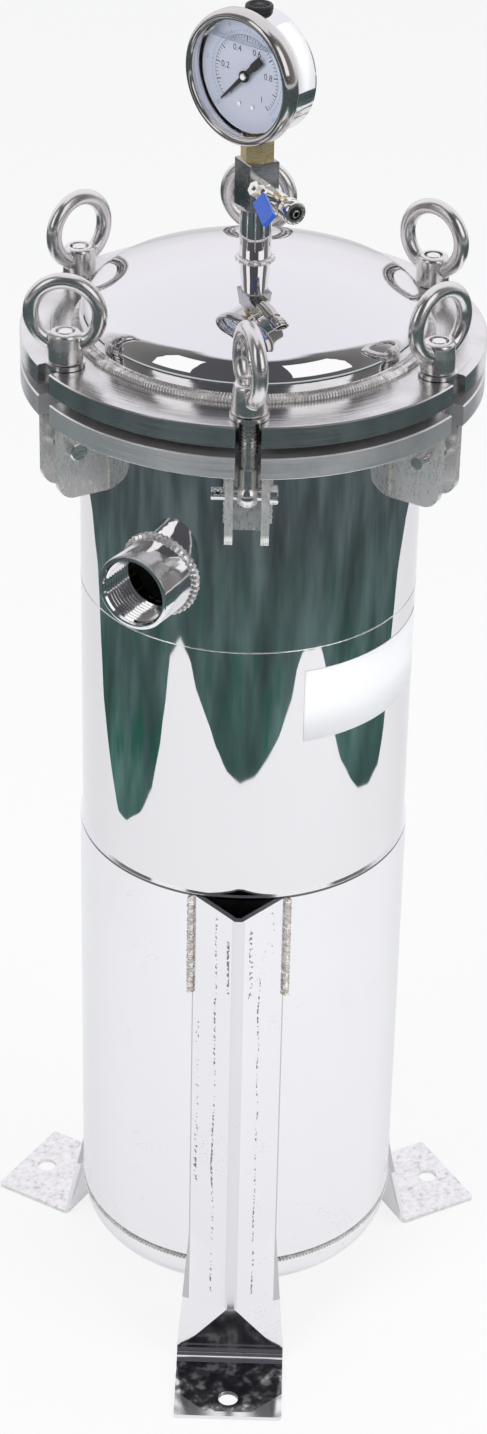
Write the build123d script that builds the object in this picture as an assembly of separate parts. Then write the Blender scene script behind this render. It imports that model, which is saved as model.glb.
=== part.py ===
from build123d import *
import os
from math import atan2, ceil, cos, degrees, radians, sin, sqrt

# Bag filter housing in stainless steel, millimetres, +Z up.
# The origin is on the vessel axis at floor level. The front leg and the front
# swing bolt lie on -Y, and azimuths are degrees anticlockwise from +X.

# Vessel
shell_diameter = 219.0
shell_wall = 3.0
shell_foot_height = 77.0        # floor to the weld between bottom head and shell
main_shell_height = 494.0
upper_shell_height = 140.0
sleeve_wall = 1.5
sleeve_height = 307.0
sleeve_rise = 3.0               # sleeve's lower edge above the bottom weld
head_depth = 46.0
head_straight = 8.0
head_knuckle = 20.0

# Flanged closure
flange_diameter = 293.0
flange_thickness = 14.0
gasket_thickness = 6.5
gasket_width = 16.5             # outward from the shell's bore
lid_opening_diameter = 200.0
bolt_count = 6
bolt_circle_diameter = 262.0
bolt_slot_width = 15.5
flange_edge_chamfer = 0.8

# Swing bolts, their lugs and pins
bolt_diameter = 12.0
bolt_end_chamfer = 1.0
eye_outer_diameter = 17.0
eye_drop = 17.0                 # flange underside to the clevis pin axis
eye_side_clearance = 0.3
clevis_pin_diameter = 8.0
pin_running_clearance = 0.05
pin_head_diameter = 12.0
pin_head_thickness = 5.0
pin_head_chamfer = 0.8
pin_tail = 8.5                  # pin beyond the ear, on the split pin side
split_pin_diameter = 2.4
split_pin_length = 15.0
split_pin_tilt = 55.0           # from the vertical
ear_gap = 17.0
ear_thickness = 5.0
ear_height = 50.0
ear_reach = 12.0                # ear beyond the bolt axis
ear_corner_radius = 11.0
web_thickness = 4.0
web_offset = 16.0               # bolt axis to the outer face of the web

# Eye nuts and washers
washer_diameter = 24.0
washer_thickness = 2.5
washer_gap = 0.4
washer_play = 0.5
nut_hub_diameter = 22.0
nut_hub_height = 19.7
nut_hub_chamfer = 1.0
nut_ring_diameter = 52.4        # outside
nut_ring_wire = 10.0
nut_ring_rise = 11.5            # hub top to ring centre
nut_running_clearance = 0.05
nut_plane_azimuths = [-73.0, -135.0, -38.0, -15.0, -135.0, -5.0]   # level line of each ring

# Inlet and outlet sockets, G 1 1/4
socket_diameter = 50.0
socket_bore_diameter = 39.0
socket_length = 30.0
inlet_azimuth = -120.0
inlet_rise = 47.0               # seam to the inlet's axis
outlet_azimuth = 60.0
outlet_height = 140.0

# Legs
leg_count = 3
leg_thickness = 3.0
leg_strip_width = 75.0
leg_top_height = 386.0
leg_half_width = 30.5           # each side of the fold, where it meets the vessel
leg_top_slope = 6.0             # fold's top below the side edges' top
leg_taper_start = 100.0         # height where the sides begin to open out
leg_fold_end = 50.0             # height where the fold begins to flatten
leg_flat_height = 12.0          # height where the strip is flat
leg_flat_radius = 124.0         # vessel axis to the strip's outer face
leg_fold_flat = 5.0
foot_reach = 62.0               # strip's outer face to the toe
foot_bend_radius = 4.0
foot_corner_radius = 2.5
foot_hole_diameter = 14.0
foot_hole_inset = 18.0          # toe to the hole's centre

# Basket and bag
seat_thickness = 6.0
seat_clearance = 2.0            # basket to the seat's bore
seal_thickness = 3.0
seal_width = 9.0
collar_thickness = 3.0
collar_clearance = 2.5
basket_inset = 16.5             # shell's bore to the basket
basket_wall = 1.5
basket_length = 430.0
basket_hole_diameter = 9.0
basket_hole_columns = 12
basket_hole_rows = 6
bag_clearance = 1.0
bag_wall = 2.0
bag_ring_thickness = 4.0
bag_ring_inset = 5.0            # collar's edge to the ring's edge
bag_ring_inner_lip = 3.0

# Lid stem, gauge block and gauge
stem_diameter = 20.0
stem_wall = 2.5
stem_rise = 34.5                # lid apex to the stem's top
block_side = 20.0
block_height = 30.0
block_edge_chamfer = 0.5
block_azimuth = -60.0
block_bore_diameter = 5.0
connector_across_flats = 18.0
connector_hex_height = 13.0
connector_neck_diameter = 13.0
connector_spigot_length = 11.0
connector_anchor_width = 12.0
connector_neck_seat = 2.0       # neck let into the anchor inside the case
gauge_azimuth = -130.0
gauge_case_diameter = 77.0
gauge_case_depth = 29.0
gauge_case_wall = 1.5
case_edge_chamfer = 1.0
neck_clearance = 0.05           # case to the connector's neck
gauge_back_offset = 9.0         # stem axis back to the case's rear face
gauge_lift = 1.0                # connector's hexagon to the bezel's edge
bezel_diameter = 84.0
bezel_depth = 11.0
bezel_lip = 2.0
bezel_edge_radius = 1.6
bezel_clearance = 0.1
bezel_opening_diameter = 72.0
window_thickness = 3.0
window_clearance = 0.2
dial_diameter = 71.0
dial_thickness = 0.8
dial_depth = 7.0                # window to dial
pointer_length = 27.0
pointer_tail = 11.0
pointer_thickness = 0.8
pointer_tail_width = 3.6
pointer_root_width = 2.4
pointer_tip_width = 0.8
pointer_hub_diameter = 7.0
pointer_hub_height = 0.8
pointer_lift = 0.6              # dial to the pointer
pointer_zero_angle = 225.0      # scale zero, anticlockwise from three o'clock
arbor_diameter = 1.6
arbor_clearance = 0.06
bourdon_radius = 24.0
bourdon_tube_diameter = 5.0
bourdon_start = -80.0           # from three o'clock, inside the connector's anchor
bourdon_sweep = 250.0
movement_width = 18.0
movement_depth = 7.0
fill_plug_diameter = 17.0
fill_plug_height = 4.0
fill_plug_edge_radius = 1.2
fill_plug_offset = 1.0          # forward of the stem axis

# Vent valve
valve_rise = 12.0               # stem's top to the valve's axis
valve_body_diameter = 12.5
valve_hex_length = 5.0
valve_body_length = 19.0
valve_bore_diameter = 3.6
valve_spigot_diameter = 8.0
valve_spigot_length = 5.0
valve_roll = 34.0               # stem above the horizontal
valve_ball_diameter = 7.4
valve_cavity_diameter = 8.4
valve_seat_length = 3.2
valve_ball_clearance = 0.05
valve_tail_diameter = 8.6
valve_tail_length = 13.0
outlet_nut_across_flats = 13.0
outlet_nut_length = 10.0
outlet_nut_lip = 2.0
valve_stem_diameter = 3.0
valve_stem_length = 21.0
stem_boss_diameter = 7.0
stem_boss_height = 13.0
stem_running_clearance = 0.05
lever_lift = 0.2                # stem boss to the lever
lever_turn = -20.0             # lever from the line of the bore
lever_width = 8.0
lever_plate = 1.5
lever_length = 30.0
lever_crank_height = 4.0
lever_crank_start = 5.5
lever_crank_shift = 0.6         # offset that keeps the slope's thickness
sleeve_cover = 1.0
sleeve_cover_length = 20.0
lever_nut_across_flats = 8.0
lever_nut_height = 5.0

# Sizes that follow
shell_radius = shell_diameter / 2
shell_bore_radius = shell_radius - shell_wall
sleeve_radius = shell_radius + sleeve_wall
seam_z = shell_foot_height + main_shell_height
body_flange_z = seam_z + upper_shell_height
gasket_z = body_flange_z + flange_thickness
lid_flange_z = gasket_z + gasket_thickness
lid_top_z = lid_flange_z + flange_thickness
lid_apex_z = lid_top_z + head_depth
inlet_z = seam_z + inlet_rise
stem_top_z = lid_apex_z + stem_rise
valve_z = stem_top_z + valve_rise
bolt_circle_radius = bolt_circle_diameter / 2
pin_z = body_flange_z - eye_drop
washer_z = lid_top_z + washer_gap
nut_z = washer_z + washer_thickness
hub_top_z = nut_z + nut_hub_height
bolt_azimuths = [-90.0 + 360.0 / bolt_count * i for i in range(bolt_count)]
leg_azimuths = [-90.0 + 360.0 / leg_count * i for i in range(leg_count)]
socket_end_radius = shell_radius + socket_length
collar_z = seam_z + seal_thickness
collar_radius = shell_bore_radius - collar_clearance
basket_radius = shell_bore_radius - basket_inset
basket_bore_radius = basket_radius - basket_wall
seat_bore_radius = basket_radius + seat_clearance
basket_foot_z = collar_z - basket_length
stem_radius = stem_diameter / 2
block_top_z = stem_top_z + block_height
gauge_case_radius = gauge_case_diameter / 2
gauge_front = gauge_case_depth - gauge_back_offset
gauge_z = block_top_z + connector_hex_height + bezel_diameter / 2 + gauge_lift
window_x = gauge_front - window_thickness
dial_x = window_x - dial_depth
valve_face = block_side / 2
ball_x = valve_face + valve_hex_length + valve_body_length / 2
valve_tail_x = valve_face + valve_hex_length + valve_body_length
lever_seat = stem_boss_height + lever_lift


def turned(shape, azimuth):
    """Turn a shape built along +X to an azimuth about the vessel axis."""
    return Rot(0, 0, azimuth) * shape


def rod(radius, low, high):
    """Upright cylinder on the Z axis between two heights."""
    return Pos(0, 0, (low + high) / 2) * Cylinder(radius, high - low)


def ring(outer, inner, low, high):
    return rod(outer, low, high) - rod(inner, low - 1, high + 1)


def rod_x(radius, start, end):
    """Cylinder on the X axis between two positions."""
    return Pos((start + end) / 2, 0, 0) * Rot(0, 90, 0) * Cylinder(radius, end - start)


def ring_x(outer, inner, start, end):
    return rod_x(outer, start, end) - rod_x(inner, start - 1, end + 1)


def hexagon(across_flats, low, high):
    outline = RegularPolygon(across_flats / 2, 6, major_radius=False)
    return Pos(0, 0, low) * extrude(outline, high - low)


def hexagon_x(across_flats, start, end):
    return Rot(0, 90, 0) * hexagon(across_flats, start, end)


def dished_head(radius, wall):
    """Torispherical head with its rim on Z = 0 and its apex above."""
    rise = head_depth - head_straight
    knuckle_x = radius - head_knuckle
    crown = (knuckle_x ** 2 + rise ** 2 - head_knuckle ** 2) / (2 * (rise - head_knuckle))
    crown_z = head_depth - crown
    meet = degrees(atan2(head_straight - crown_z, knuckle_x))

    def skin(offset):
        def knuckle_point(angle):
            reach = head_knuckle - offset
            angle = radians(angle)
            return (knuckle_x + reach * cos(angle), head_straight + reach * sin(angle))

        def crown_point(angle):
            reach = crown - offset
            return (reach * cos(radians(angle)), crown_z + reach * sin(radians(angle)))

        apex = (0, head_depth - offset)
        return [
            Line((radius - offset, 0), (radius - offset, head_straight)),
            ThreePointArc(knuckle_point(0), knuckle_point(meet / 2), knuckle_point(meet)),
            ThreePointArc(crown_point(meet), crown_point((meet + 90) / 2), apex),
        ]

    rim = Line((radius, 0), (radius - wall, 0))
    pole = Line((0, head_depth), (0, head_depth - wall))
    profile = make_face(skin(0) + skin(wall) + [rim, pole])
    return revolve(Plane.XZ * profile, Axis.Z)


def flange(low):
    """Flange ring with open slots for the swing bolts."""
    high = low + flange_thickness
    body = rod(flange_diameter / 2, low, high)
    rims = body.edges().filter_by(GeomType.CIRCLE)
    body = chamfer(rims, flange_edge_chamfer)
    middle = (low + high) / 2
    mouth = flange_diameter / 2 - bolt_circle_radius + 5
    for azimuth in bolt_azimuths:
        end = Pos(bolt_circle_radius, 0, middle) * Cylinder(bolt_slot_width / 2, flange_thickness + 2)
        way = Pos(bolt_circle_radius + mouth / 2, 0, middle)
        way *= Box(mouth, bolt_slot_width, flange_thickness + 2)
        body -= turned(end + way, azimuth)
    return body


def socket(azimuth, height, seat_radius):
    """Pipe socket saddled on the vessel wall."""
    tube = ring_x(socket_diameter / 2, socket_bore_diameter / 2, seat_radius / 2, socket_end_radius)
    placed = turned(Pos(0, 0, height) * tube, azimuth)
    saddle = rod(seat_radius, height - socket_diameter, height + socket_diameter)
    return placed - saddle


def port(azimuth, height):
    """Cutter for a socket's hole through the vessel wall."""
    cutter = rod_x(socket_bore_diameter / 2, shell_radius / 2, shell_radius + 5)
    return turned(Pos(0, 0, height) * cutter, azimuth)


def bolt_lug():
    """Two ears and the web that joins them, welded under the flange."""
    inner = shell_radius / 2
    outer = bolt_circle_radius + ear_reach
    low = body_flange_z - ear_height
    outline = Rectangle(outer - inner, ear_height)
    outline = Pos((inner + outer) / 2, (low + body_flange_z) / 2) * outline
    corner = outline.vertices().sort_by(Axis.X)[-2:].sort_by(Axis.Y)[0]
    outline = fillet(corner, ear_corner_radius)
    ear = extrude(Plane.XZ * outline, ear_thickness / 2, both=True)
    side = (ear_gap + ear_thickness) / 2
    web_face = bolt_circle_radius - web_offset
    web = Pos(web_face - web_thickness / 2, 0, (low + body_flange_z) / 2)
    web *= Box(web_thickness, ear_gap, ear_height)
    lug = Pos(0, side, 0) * ear + Pos(0, -side, 0) * ear + web
    lug -= rod(shell_radius, low - 1, body_flange_z + 1)
    pin_hole = Pos(bolt_circle_radius, 0, pin_z) * Rot(90, 0, 0)
    return lug - pin_hole * Cylinder(clevis_pin_diameter / 2, ear_gap + 4 * ear_thickness)


def clevis_pin():
    ear_face = ear_gap / 2 + ear_thickness
    tail = -ear_face - pin_tail
    shaft = rod(clevis_pin_diameter / 2, tail, ear_face)
    head = rod(pin_head_diameter / 2, ear_face, ear_face + pin_head_thickness)
    head = chamfer(head.edges().filter_by(GeomType.CIRCLE).sort_by(Axis.Z)[-1], pin_head_chamfer)
    placed = Pos(bolt_circle_radius, 0, pin_z) * Rot(-90, 0, 0) * (shaft + head)
    return placed - split_pin()


def split_pin():
    place = Pos(bolt_circle_radius, -ear_gap / 2 - ear_thickness - pin_tail / 2, pin_z)
    return place * Rot(0, split_pin_tilt, 0) * Cylinder(split_pin_diameter / 2, split_pin_length)


def swing_bolt():
    shank = Pos(bolt_circle_radius, 0, 0) * rod(bolt_diameter / 2, pin_z, hub_top_z)
    shank = chamfer(shank.edges().filter_by(GeomType.CIRCLE).sort_by(Axis.Z)[-1], bolt_end_chamfer)
    across = Pos(bolt_circle_radius, 0, pin_z) * Rot(90, 0, 0)
    eye = across * Cylinder(eye_outer_diameter / 2, ear_gap - 2 * eye_side_clearance)
    bore = across * Cylinder(clevis_pin_diameter / 2 + pin_running_clearance, ear_gap)
    return shank + eye - bore


def nut_washer():
    hole = bolt_diameter / 2 + washer_play
    return Pos(bolt_circle_radius, 0, 0) * ring(washer_diameter / 2, hole, washer_z, nut_z)


def eye_nut(plane_azimuth):
    """Lifting eye nut, with its ring's plane along an azimuth."""
    hub = rod(nut_hub_diameter / 2, nut_z, hub_top_z)
    hub = chamfer(hub.edges().filter_by(GeomType.CIRCLE).sort_by(Axis.Z)[-1], nut_hub_chamfer)
    ring_radius = (nut_ring_diameter - nut_ring_wire) / 2
    loop = Torus(ring_radius, nut_ring_wire / 2)
    eye = Pos(0, 0, hub_top_z + nut_ring_rise) * Rot(0, 0, plane_azimuth) * Rot(90, 0, 0) * loop
    bore = rod(bolt_diameter / 2 + nut_running_clearance, nut_z - 1, hub_top_z + nut_ring_wire)
    return hub + eye - bore


def strip_section(height, half_width, side_x, ridge_x, flat_half):
    """Cross-section of the leg's strip: two sides and a flat between them."""
    outer = [(side_x, -half_width), (ridge_x, -flat_half)]
    outer += [(ridge_x, flat_half), (side_x, half_width)]
    run_x = ridge_x - side_x
    run_y = half_width - flat_half
    length = sqrt(run_x ** 2 + run_y ** 2)
    normal_x = -run_y / length
    normal_y = -run_x / length
    mitre = leg_thickness / (1 - normal_x)
    side_in = (side_x + leg_thickness * normal_x, half_width + leg_thickness * normal_y)
    ridge_in = (ridge_x + mitre * (normal_x - 1), flat_half + mitre * normal_y)
    inner = [side_in, ridge_in, (ridge_in[0], -ridge_in[1]), (side_in[0], -side_in[1])]
    return Pos(0, 0, height) * make_face(Polyline(*outer, *inner, close=True))


def leg():
    """Folded strip leg that flattens into its own foot plate."""
    side_x = sqrt(sleeve_radius ** 2 - leg_half_width ** 2)
    half_strip = leg_strip_width / 2
    fold_depth = sqrt(half_strip ** 2 - leg_half_width ** 2)
    ridge_x = side_x + fold_depth
    fold_half = leg_fold_flat / 2
    opening = (leg_taper_start - leg_fold_end) / (leg_taper_start - leg_flat_height)
    mid_half = leg_half_width + (half_strip - leg_half_width) * opening
    mid_side_x = side_x + (leg_flat_radius - side_x) * opening
    flat_half = half_strip - leg_fold_flat
    straight = loft([
        strip_section(leg_top_height, leg_half_width, side_x, ridge_x, fold_half),
        strip_section(leg_taper_start, leg_half_width, side_x, ridge_x, fold_half),
    ], ruled=True)
    opening_part = loft([
        strip_section(leg_taper_start, leg_half_width, side_x, ridge_x, fold_half),
        strip_section(leg_fold_end, mid_half, mid_side_x, ridge_x, fold_half),
    ], ruled=True)
    flattening = loft([
        strip_section(leg_fold_end, mid_half, mid_side_x, ridge_x, fold_half),
        strip_section(leg_flat_height, half_strip, leg_flat_radius, leg_flat_radius, flat_half),
    ], ruled=True)
    back = leg_flat_radius - leg_thickness
    toe = leg_flat_radius + foot_reach
    bend_x = leg_flat_radius + foot_bend_radius
    bend_z = leg_thickness + foot_bend_radius
    outer_bend = foot_bend_radius + leg_thickness
    turn = sqrt(0.5)
    profile = make_face([
        Line((back, leg_flat_height), (back, bend_z)),
        ThreePointArc(
            (back, bend_z),
            (bend_x - outer_bend * turn, bend_z - outer_bend * turn),
            (bend_x, 0),
        ),
        Line((bend_x, 0), (toe, 0)),
        Line((toe, 0), (toe, leg_thickness)),
        Line((toe, leg_thickness), (bend_x, leg_thickness)),
        ThreePointArc(
            (bend_x, leg_thickness),
            (bend_x - foot_bend_radius * turn, bend_z - foot_bend_radius * turn),
            (leg_flat_radius, bend_z),
        ),
        Line((leg_flat_radius, bend_z), (leg_flat_radius, leg_flat_height)),
        Line((leg_flat_radius, leg_flat_height), (back, leg_flat_height)),
    ])
    foot = extrude(Plane.XZ * profile, half_strip, both=True)
    corners = foot.edges().filter_by(Axis.Z).group_by(Axis.X)[-1]
    foot = fillet(corners, foot_corner_radius)
    foot -= Pos(toe - foot_hole_inset, 0, 0) * rod(foot_hole_diameter / 2, -1, leg_thickness + 1)
    body = straight + opening_part + flattening + foot
    cap_angle = degrees(atan2(leg_top_slope, ridge_x - side_x))
    cap = Box(2 * leg_strip_width, 2 * leg_strip_width, leg_strip_width)
    cap = Pos(0, 0, leg_strip_width / 2) * cap
    body -= Pos(side_x, 0, leg_top_height) * Rot(0, cap_angle, 0) * cap
    return body - rod(sleeve_radius, -1, leg_top_height + 1)


def filter_basket():
    collar = ring(collar_radius, basket_bore_radius, collar_z, collar_z + collar_thickness)
    wall = ring(basket_radius, basket_bore_radius, basket_foot_z, collar_z)
    floor = rod(basket_radius, basket_foot_z - basket_wall, basket_foot_z)
    holes = []
    pitch = basket_length / (basket_hole_rows + 1)
    for row in range(basket_hole_rows):
        height = basket_foot_z + pitch * (row + 1)
        for column in range(basket_hole_columns // 2):
            azimuth = 360.0 / basket_hole_columns * (column + 0.5 * (row % 2))
            drill = Cylinder(basket_hole_diameter / 2, 2 * basket_radius + 10, rotation=(0, 90, 0))
            holes.append(turned(Pos(0, 0, height) * drill, azimuth))
    return collar + floor + (wall - holes)


def filter_bag():
    radius = basket_bore_radius - bag_clearance
    top = collar_z + collar_thickness
    foot = basket_foot_z + bag_clearance
    return rod(radius, foot, top) - rod(radius - bag_wall, foot + bag_wall, top + 1)


def bag_ring():
    low = collar_z + collar_thickness
    inner = basket_bore_radius - bag_clearance - bag_wall - bag_ring_inner_lip
    return ring(collar_radius - bag_ring_inset, inner, low, low + bag_ring_thickness)


def gauge_block():
    block = Pos(0, 0, (stem_top_z + block_top_z) / 2) * Box(block_side, block_side, block_height)
    block = chamfer(block.edges().group_by(Axis.Z)[-1], block_edge_chamfer)
    bore = rod(block_bore_diameter / 2, stem_top_z - 1, block_top_z + 1)
    port_foot = block_top_z - connector_spigot_length
    top_port = rod(connector_neck_diameter / 2, port_foot, block_top_z + 1)
    side_port = rod_x(valve_spigot_diameter / 2, valve_face - valve_spigot_length, valve_face + 1)
    side_port = Pos(0, 0, valve_z) * side_port
    side_bore = Pos(0, 0, valve_z) * rod_x(valve_bore_diameter / 2, 0, valve_face)
    return turned(block - bore - top_port - side_port - side_bore, block_azimuth)


def on_gauge(shape):
    """Place a shape built about the X axis on the gauge's centre line."""
    return turned(Pos(0, 0, gauge_z) * shape, gauge_azimuth)


def gauge_connector():
    neck = connector_neck_diameter / 2
    case_foot = gauge_z - gauge_case_radius
    anchor_foot = case_foot + gauge_case_wall
    anchor_top = gauge_z - movement_width / 2
    spigot = rod(neck, block_top_z - connector_spigot_length, block_top_z)
    hexagon_part = hexagon(connector_across_flats, block_top_z, block_top_z + connector_hex_height)
    neck_part = rod(neck, block_top_z + connector_hex_height, anchor_foot + connector_neck_seat)
    anchor = Pos(0, 0, (anchor_foot + anchor_top) / 2)
    anchor *= Box(connector_anchor_width, connector_anchor_width, anchor_top - anchor_foot)
    case_bore = rod_x(gauge_case_radius - gauge_case_wall, -gauge_back_offset, gauge_front)
    anchor &= Pos(0, 0, gauge_z) * case_bore
    bore_foot = block_top_z - connector_spigot_length - 1
    bore = rod(block_bore_diameter / 2, bore_foot, gauge_z - bourdon_radius)
    return turned(spigot + hexagon_part + neck_part + anchor - bore, gauge_azimuth) - bourdon_tube()


def gauge_case():
    back = -gauge_back_offset
    shell = rod_x(gauge_case_radius, back, window_x)
    shell = chamfer(shell.edges().filter_by(GeomType.CIRCLE).group_by(Axis.X)[0], case_edge_chamfer)
    shell -= rod_x(gauge_case_radius - gauge_case_wall, back + gauge_case_wall, window_x + 1)
    hole_radius = connector_neck_diameter / 2 + neck_clearance
    foot_hole = rod(hole_radius, -gauge_case_radius - 1, -gauge_case_radius + 5)
    top_hole = rod(fill_plug_diameter / 4, gauge_case_radius - 5, gauge_case_radius + 1)
    return on_gauge(shell - foot_hole - Pos(fill_plug_offset, 0, 0) * top_hole)


def gauge_bezel():
    bezel_front = gauge_front + bezel_lip
    bezel = rod_x(bezel_diameter / 2, bezel_front - bezel_depth, bezel_front)
    bezel = fillet(bezel.edges().filter_by(GeomType.CIRCLE), bezel_edge_radius)
    bezel -= rod_x(gauge_case_radius + bezel_clearance, gauge_front - bezel_depth, gauge_front)
    return on_gauge(bezel - rod_x(bezel_opening_diameter / 2, 0, gauge_front + bezel_lip + 1))


def gauge_pointer():
    """Needle, tail and arbor; scale zero at the lower left of the dial."""
    back = dial_x + dial_thickness + pointer_lift
    front = back + pointer_thickness
    hub = rod_x(pointer_hub_diameter / 2, back, front + pointer_hub_height)
    arbor = rod_x(arbor_diameter / 2, dial_x - 3, back)
    tail_half = pointer_tail_width / 2
    root_half = pointer_root_width / 2
    tip_half = pointer_tip_width / 2
    needle = make_face(Polyline(
        (-pointer_tail, -tail_half), (0, -root_half), (pointer_length, -tip_half),
        (pointer_length, tip_half), (0, root_half), (-pointer_tail, tail_half), close=True,
    ))
    blade = extrude(needle, pointer_thickness)
    face = Plane(origin=(back, 0, 0), x_dir=(0, 1, 0), z_dir=(1, 0, 0))
    blade = face * Rot(0, 0, pointer_zero_angle) * blade
    return on_gauge(blade + hub + arbor)


def gauge_movement():
    """Movement plates behind the dial, with a bearing for the arbor."""
    low = dial_x - movement_depth
    plates = Pos((low + dial_x) / 2, 0, 0) * Box(movement_depth, movement_width, movement_width)
    return on_gauge(plates - rod_x(arbor_diameter / 2 + arbor_clearance, dial_x - 4, dial_x + 1))


def bourdon_tube():
    """C-shaped pressure tube, from the connector's anchor round to its tip."""
    path = CenterArc((0, 0), bourdon_radius, bourdon_start, bourdon_sweep)
    plane = Plane(origin=(0, 0, 0), x_dir=(0, 1, 0), z_dir=(1, 0, 0))
    route = plane * path
    section = Plane(origin=route @ 0, z_dir=route % 0) * Circle(bourdon_tube_diameter / 2)
    return on_gauge(sweep(section, route))


def fill_plug():
    stopper = rod(fill_plug_diameter / 4, gauge_case_radius - 3, gauge_case_radius + 1)
    cap = rod(fill_plug_diameter / 2, gauge_case_radius - 2, gauge_case_radius + fill_plug_height)
    cap = fillet(cap.edges().filter_by(GeomType.CIRCLE).sort_by(Axis.Z)[-1], fill_plug_edge_radius)
    cap -= rod_x(gauge_case_radius, -fill_plug_diameter, fill_plug_diameter)
    return on_gauge(Pos(fill_plug_offset, 0, 0) * (stopper + cap))


def on_valve(shape):
    """Place a shape built about the X axis, stem on +Z, on the valve's centre line."""
    rolled = Rot(90 - valve_roll, 0, 0) * shape
    return turned(Pos(0, 0, valve_z) * rolled, block_azimuth)


def on_lever(shape):
    """Place a shape built about the stem, lever on +X, at the lever's angle."""
    return on_valve(Pos(ball_x, 0, 0) * Rot(0, 0, lever_turn) * shape)


def valve_body():
    spigot = rod_x(valve_spigot_diameter / 2, valve_face - valve_spigot_length, valve_face)
    nut_end = hexagon_x(valve_body_diameter, valve_face, valve_face + valve_hex_length)
    barrel = rod_x(valve_body_diameter / 2, valve_face + valve_hex_length, valve_tail_x)
    tail = rod_x(valve_tail_diameter / 2, valve_tail_x, valve_tail_x + valve_tail_length)
    boss = Pos(ball_x, 0, 0) * rod(stem_boss_diameter / 2, 0, stem_boss_height)
    solid = spigot + nut_end + barrel + tail + boss
    bore_end = valve_tail_x + valve_tail_length + 1
    bore = rod_x(valve_bore_diameter / 2, valve_face - valve_spigot_length - 1, bore_end)
    half = valve_ball_diameter / 2 + valve_seat_length / 2
    cavity = rod_x(valve_cavity_diameter / 2, ball_x - half, ball_x + half)
    stem_hole = rod(valve_stem_diameter / 2 + stem_running_clearance, 0, stem_boss_height + 1)
    return on_valve(solid - bore - cavity - Pos(ball_x, 0, 0) * stem_hole)


def valve_seats():
    """Two rings that hold the ball, one each side."""
    outer = valve_cavity_diameter / 2
    inner = valve_bore_diameter / 2
    far = (valve_ball_diameter + valve_seat_length) / 2
    section = Rectangle(valve_seat_length, outer - inner)
    section = Pos(far - valve_seat_length / 2, (outer + inner) / 2) * section
    section -= Circle(valve_ball_diameter / 2 + valve_ball_clearance)
    seat = revolve(section, Axis.X)
    return [on_valve(Pos(ball_x, 0, 0) * Rot(0, 0, side) * seat) for side in (0, 180)]


def valve_ball():
    ball = Sphere(valve_ball_diameter / 2)
    ball -= rod_x(valve_bore_diameter / 2, -valve_ball_diameter, valve_ball_diameter)
    socket_cut = rod(valve_stem_diameter / 2, valve_ball_diameter / 2 - 1, valve_ball_diameter)
    return on_lever(ball - socket_cut)


def valve_stem():
    return on_lever(rod(valve_stem_diameter / 2, valve_ball_diameter / 2 - 1, valve_stem_length))


def valve_lever():
    """Cranked strip: a seat on the stem, a slope and a straight handle."""
    low = lever_seat
    high = lever_seat + lever_crank_height
    slope_end = lever_crank_start + lever_crank_height
    half = lever_width / 2
    outline = make_face(Polyline(
        (-half, low), (lever_crank_start, low), (slope_end, high), (lever_length, high),
        (lever_length, high + lever_plate), (slope_end - lever_crank_shift, high + lever_plate),
        (lever_crank_start - lever_crank_shift, low + lever_plate),
        (-half, low + lever_plate), close=True,
    ))
    strip = extrude(Plane.XZ * outline, half, both=True)
    return on_lever(strip - rod(valve_stem_diameter / 2, low - 1, high + 3))


def lever_sleeve():
    """Blue dipped cover on the lever's handle end."""
    start = lever_length - sleeve_cover_length
    middle = (start + lever_length + sleeve_cover) / 2
    height = lever_seat + lever_crank_height + lever_plate / 2
    width = lever_width + 2 * sleeve_cover
    thickness = lever_plate + 2 * sleeve_cover
    cover = Pos(middle, 0, height) * Box(sleeve_cover_length + sleeve_cover, width, thickness)
    cover = fillet(cover.edges().filter_by(Axis.X), sleeve_cover * 0.9)
    core = Pos(start + sleeve_cover_length / 2 - 1, 0, height)
    return on_lever(cover - core * Box(sleeve_cover_length + 2, lever_width, lever_plate))


def lever_nut():
    low = lever_seat + lever_plate
    nut = hexagon(lever_nut_across_flats, low, low + lever_nut_height)
    return on_lever(nut - rod(valve_stem_diameter / 2, low - 1, low + lever_nut_height + 1))


def outlet_nut():
    end = valve_tail_x + valve_tail_length + outlet_nut_lip
    start = end - outlet_nut_length
    nut = hexagon_x(outlet_nut_across_flats, start, end)
    inside = rod_x(valve_tail_diameter / 2, start - 1, end - outlet_nut_lip)
    return on_valve(nut - inside - rod_x(valve_bore_diameter / 2, start, end + 1))


def lid_head():
    head = Pos(0, 0, lid_top_z) * dished_head(shell_radius, shell_wall)
    return head - rod(stem_radius - stem_wall, lid_top_z, lid_apex_z + 5)


def lid_stem():
    """Tube on the lid's apex, shaped to the crown at its foot."""
    foot = lid_top_z + head_straight + head_knuckle
    tube = ring(stem_radius, stem_radius - stem_wall, foot, stem_top_z)
    crown = Pos(0, 0, lid_top_z) * dished_head(shell_radius, head_straight + head_knuckle)
    return tube - crown


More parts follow.
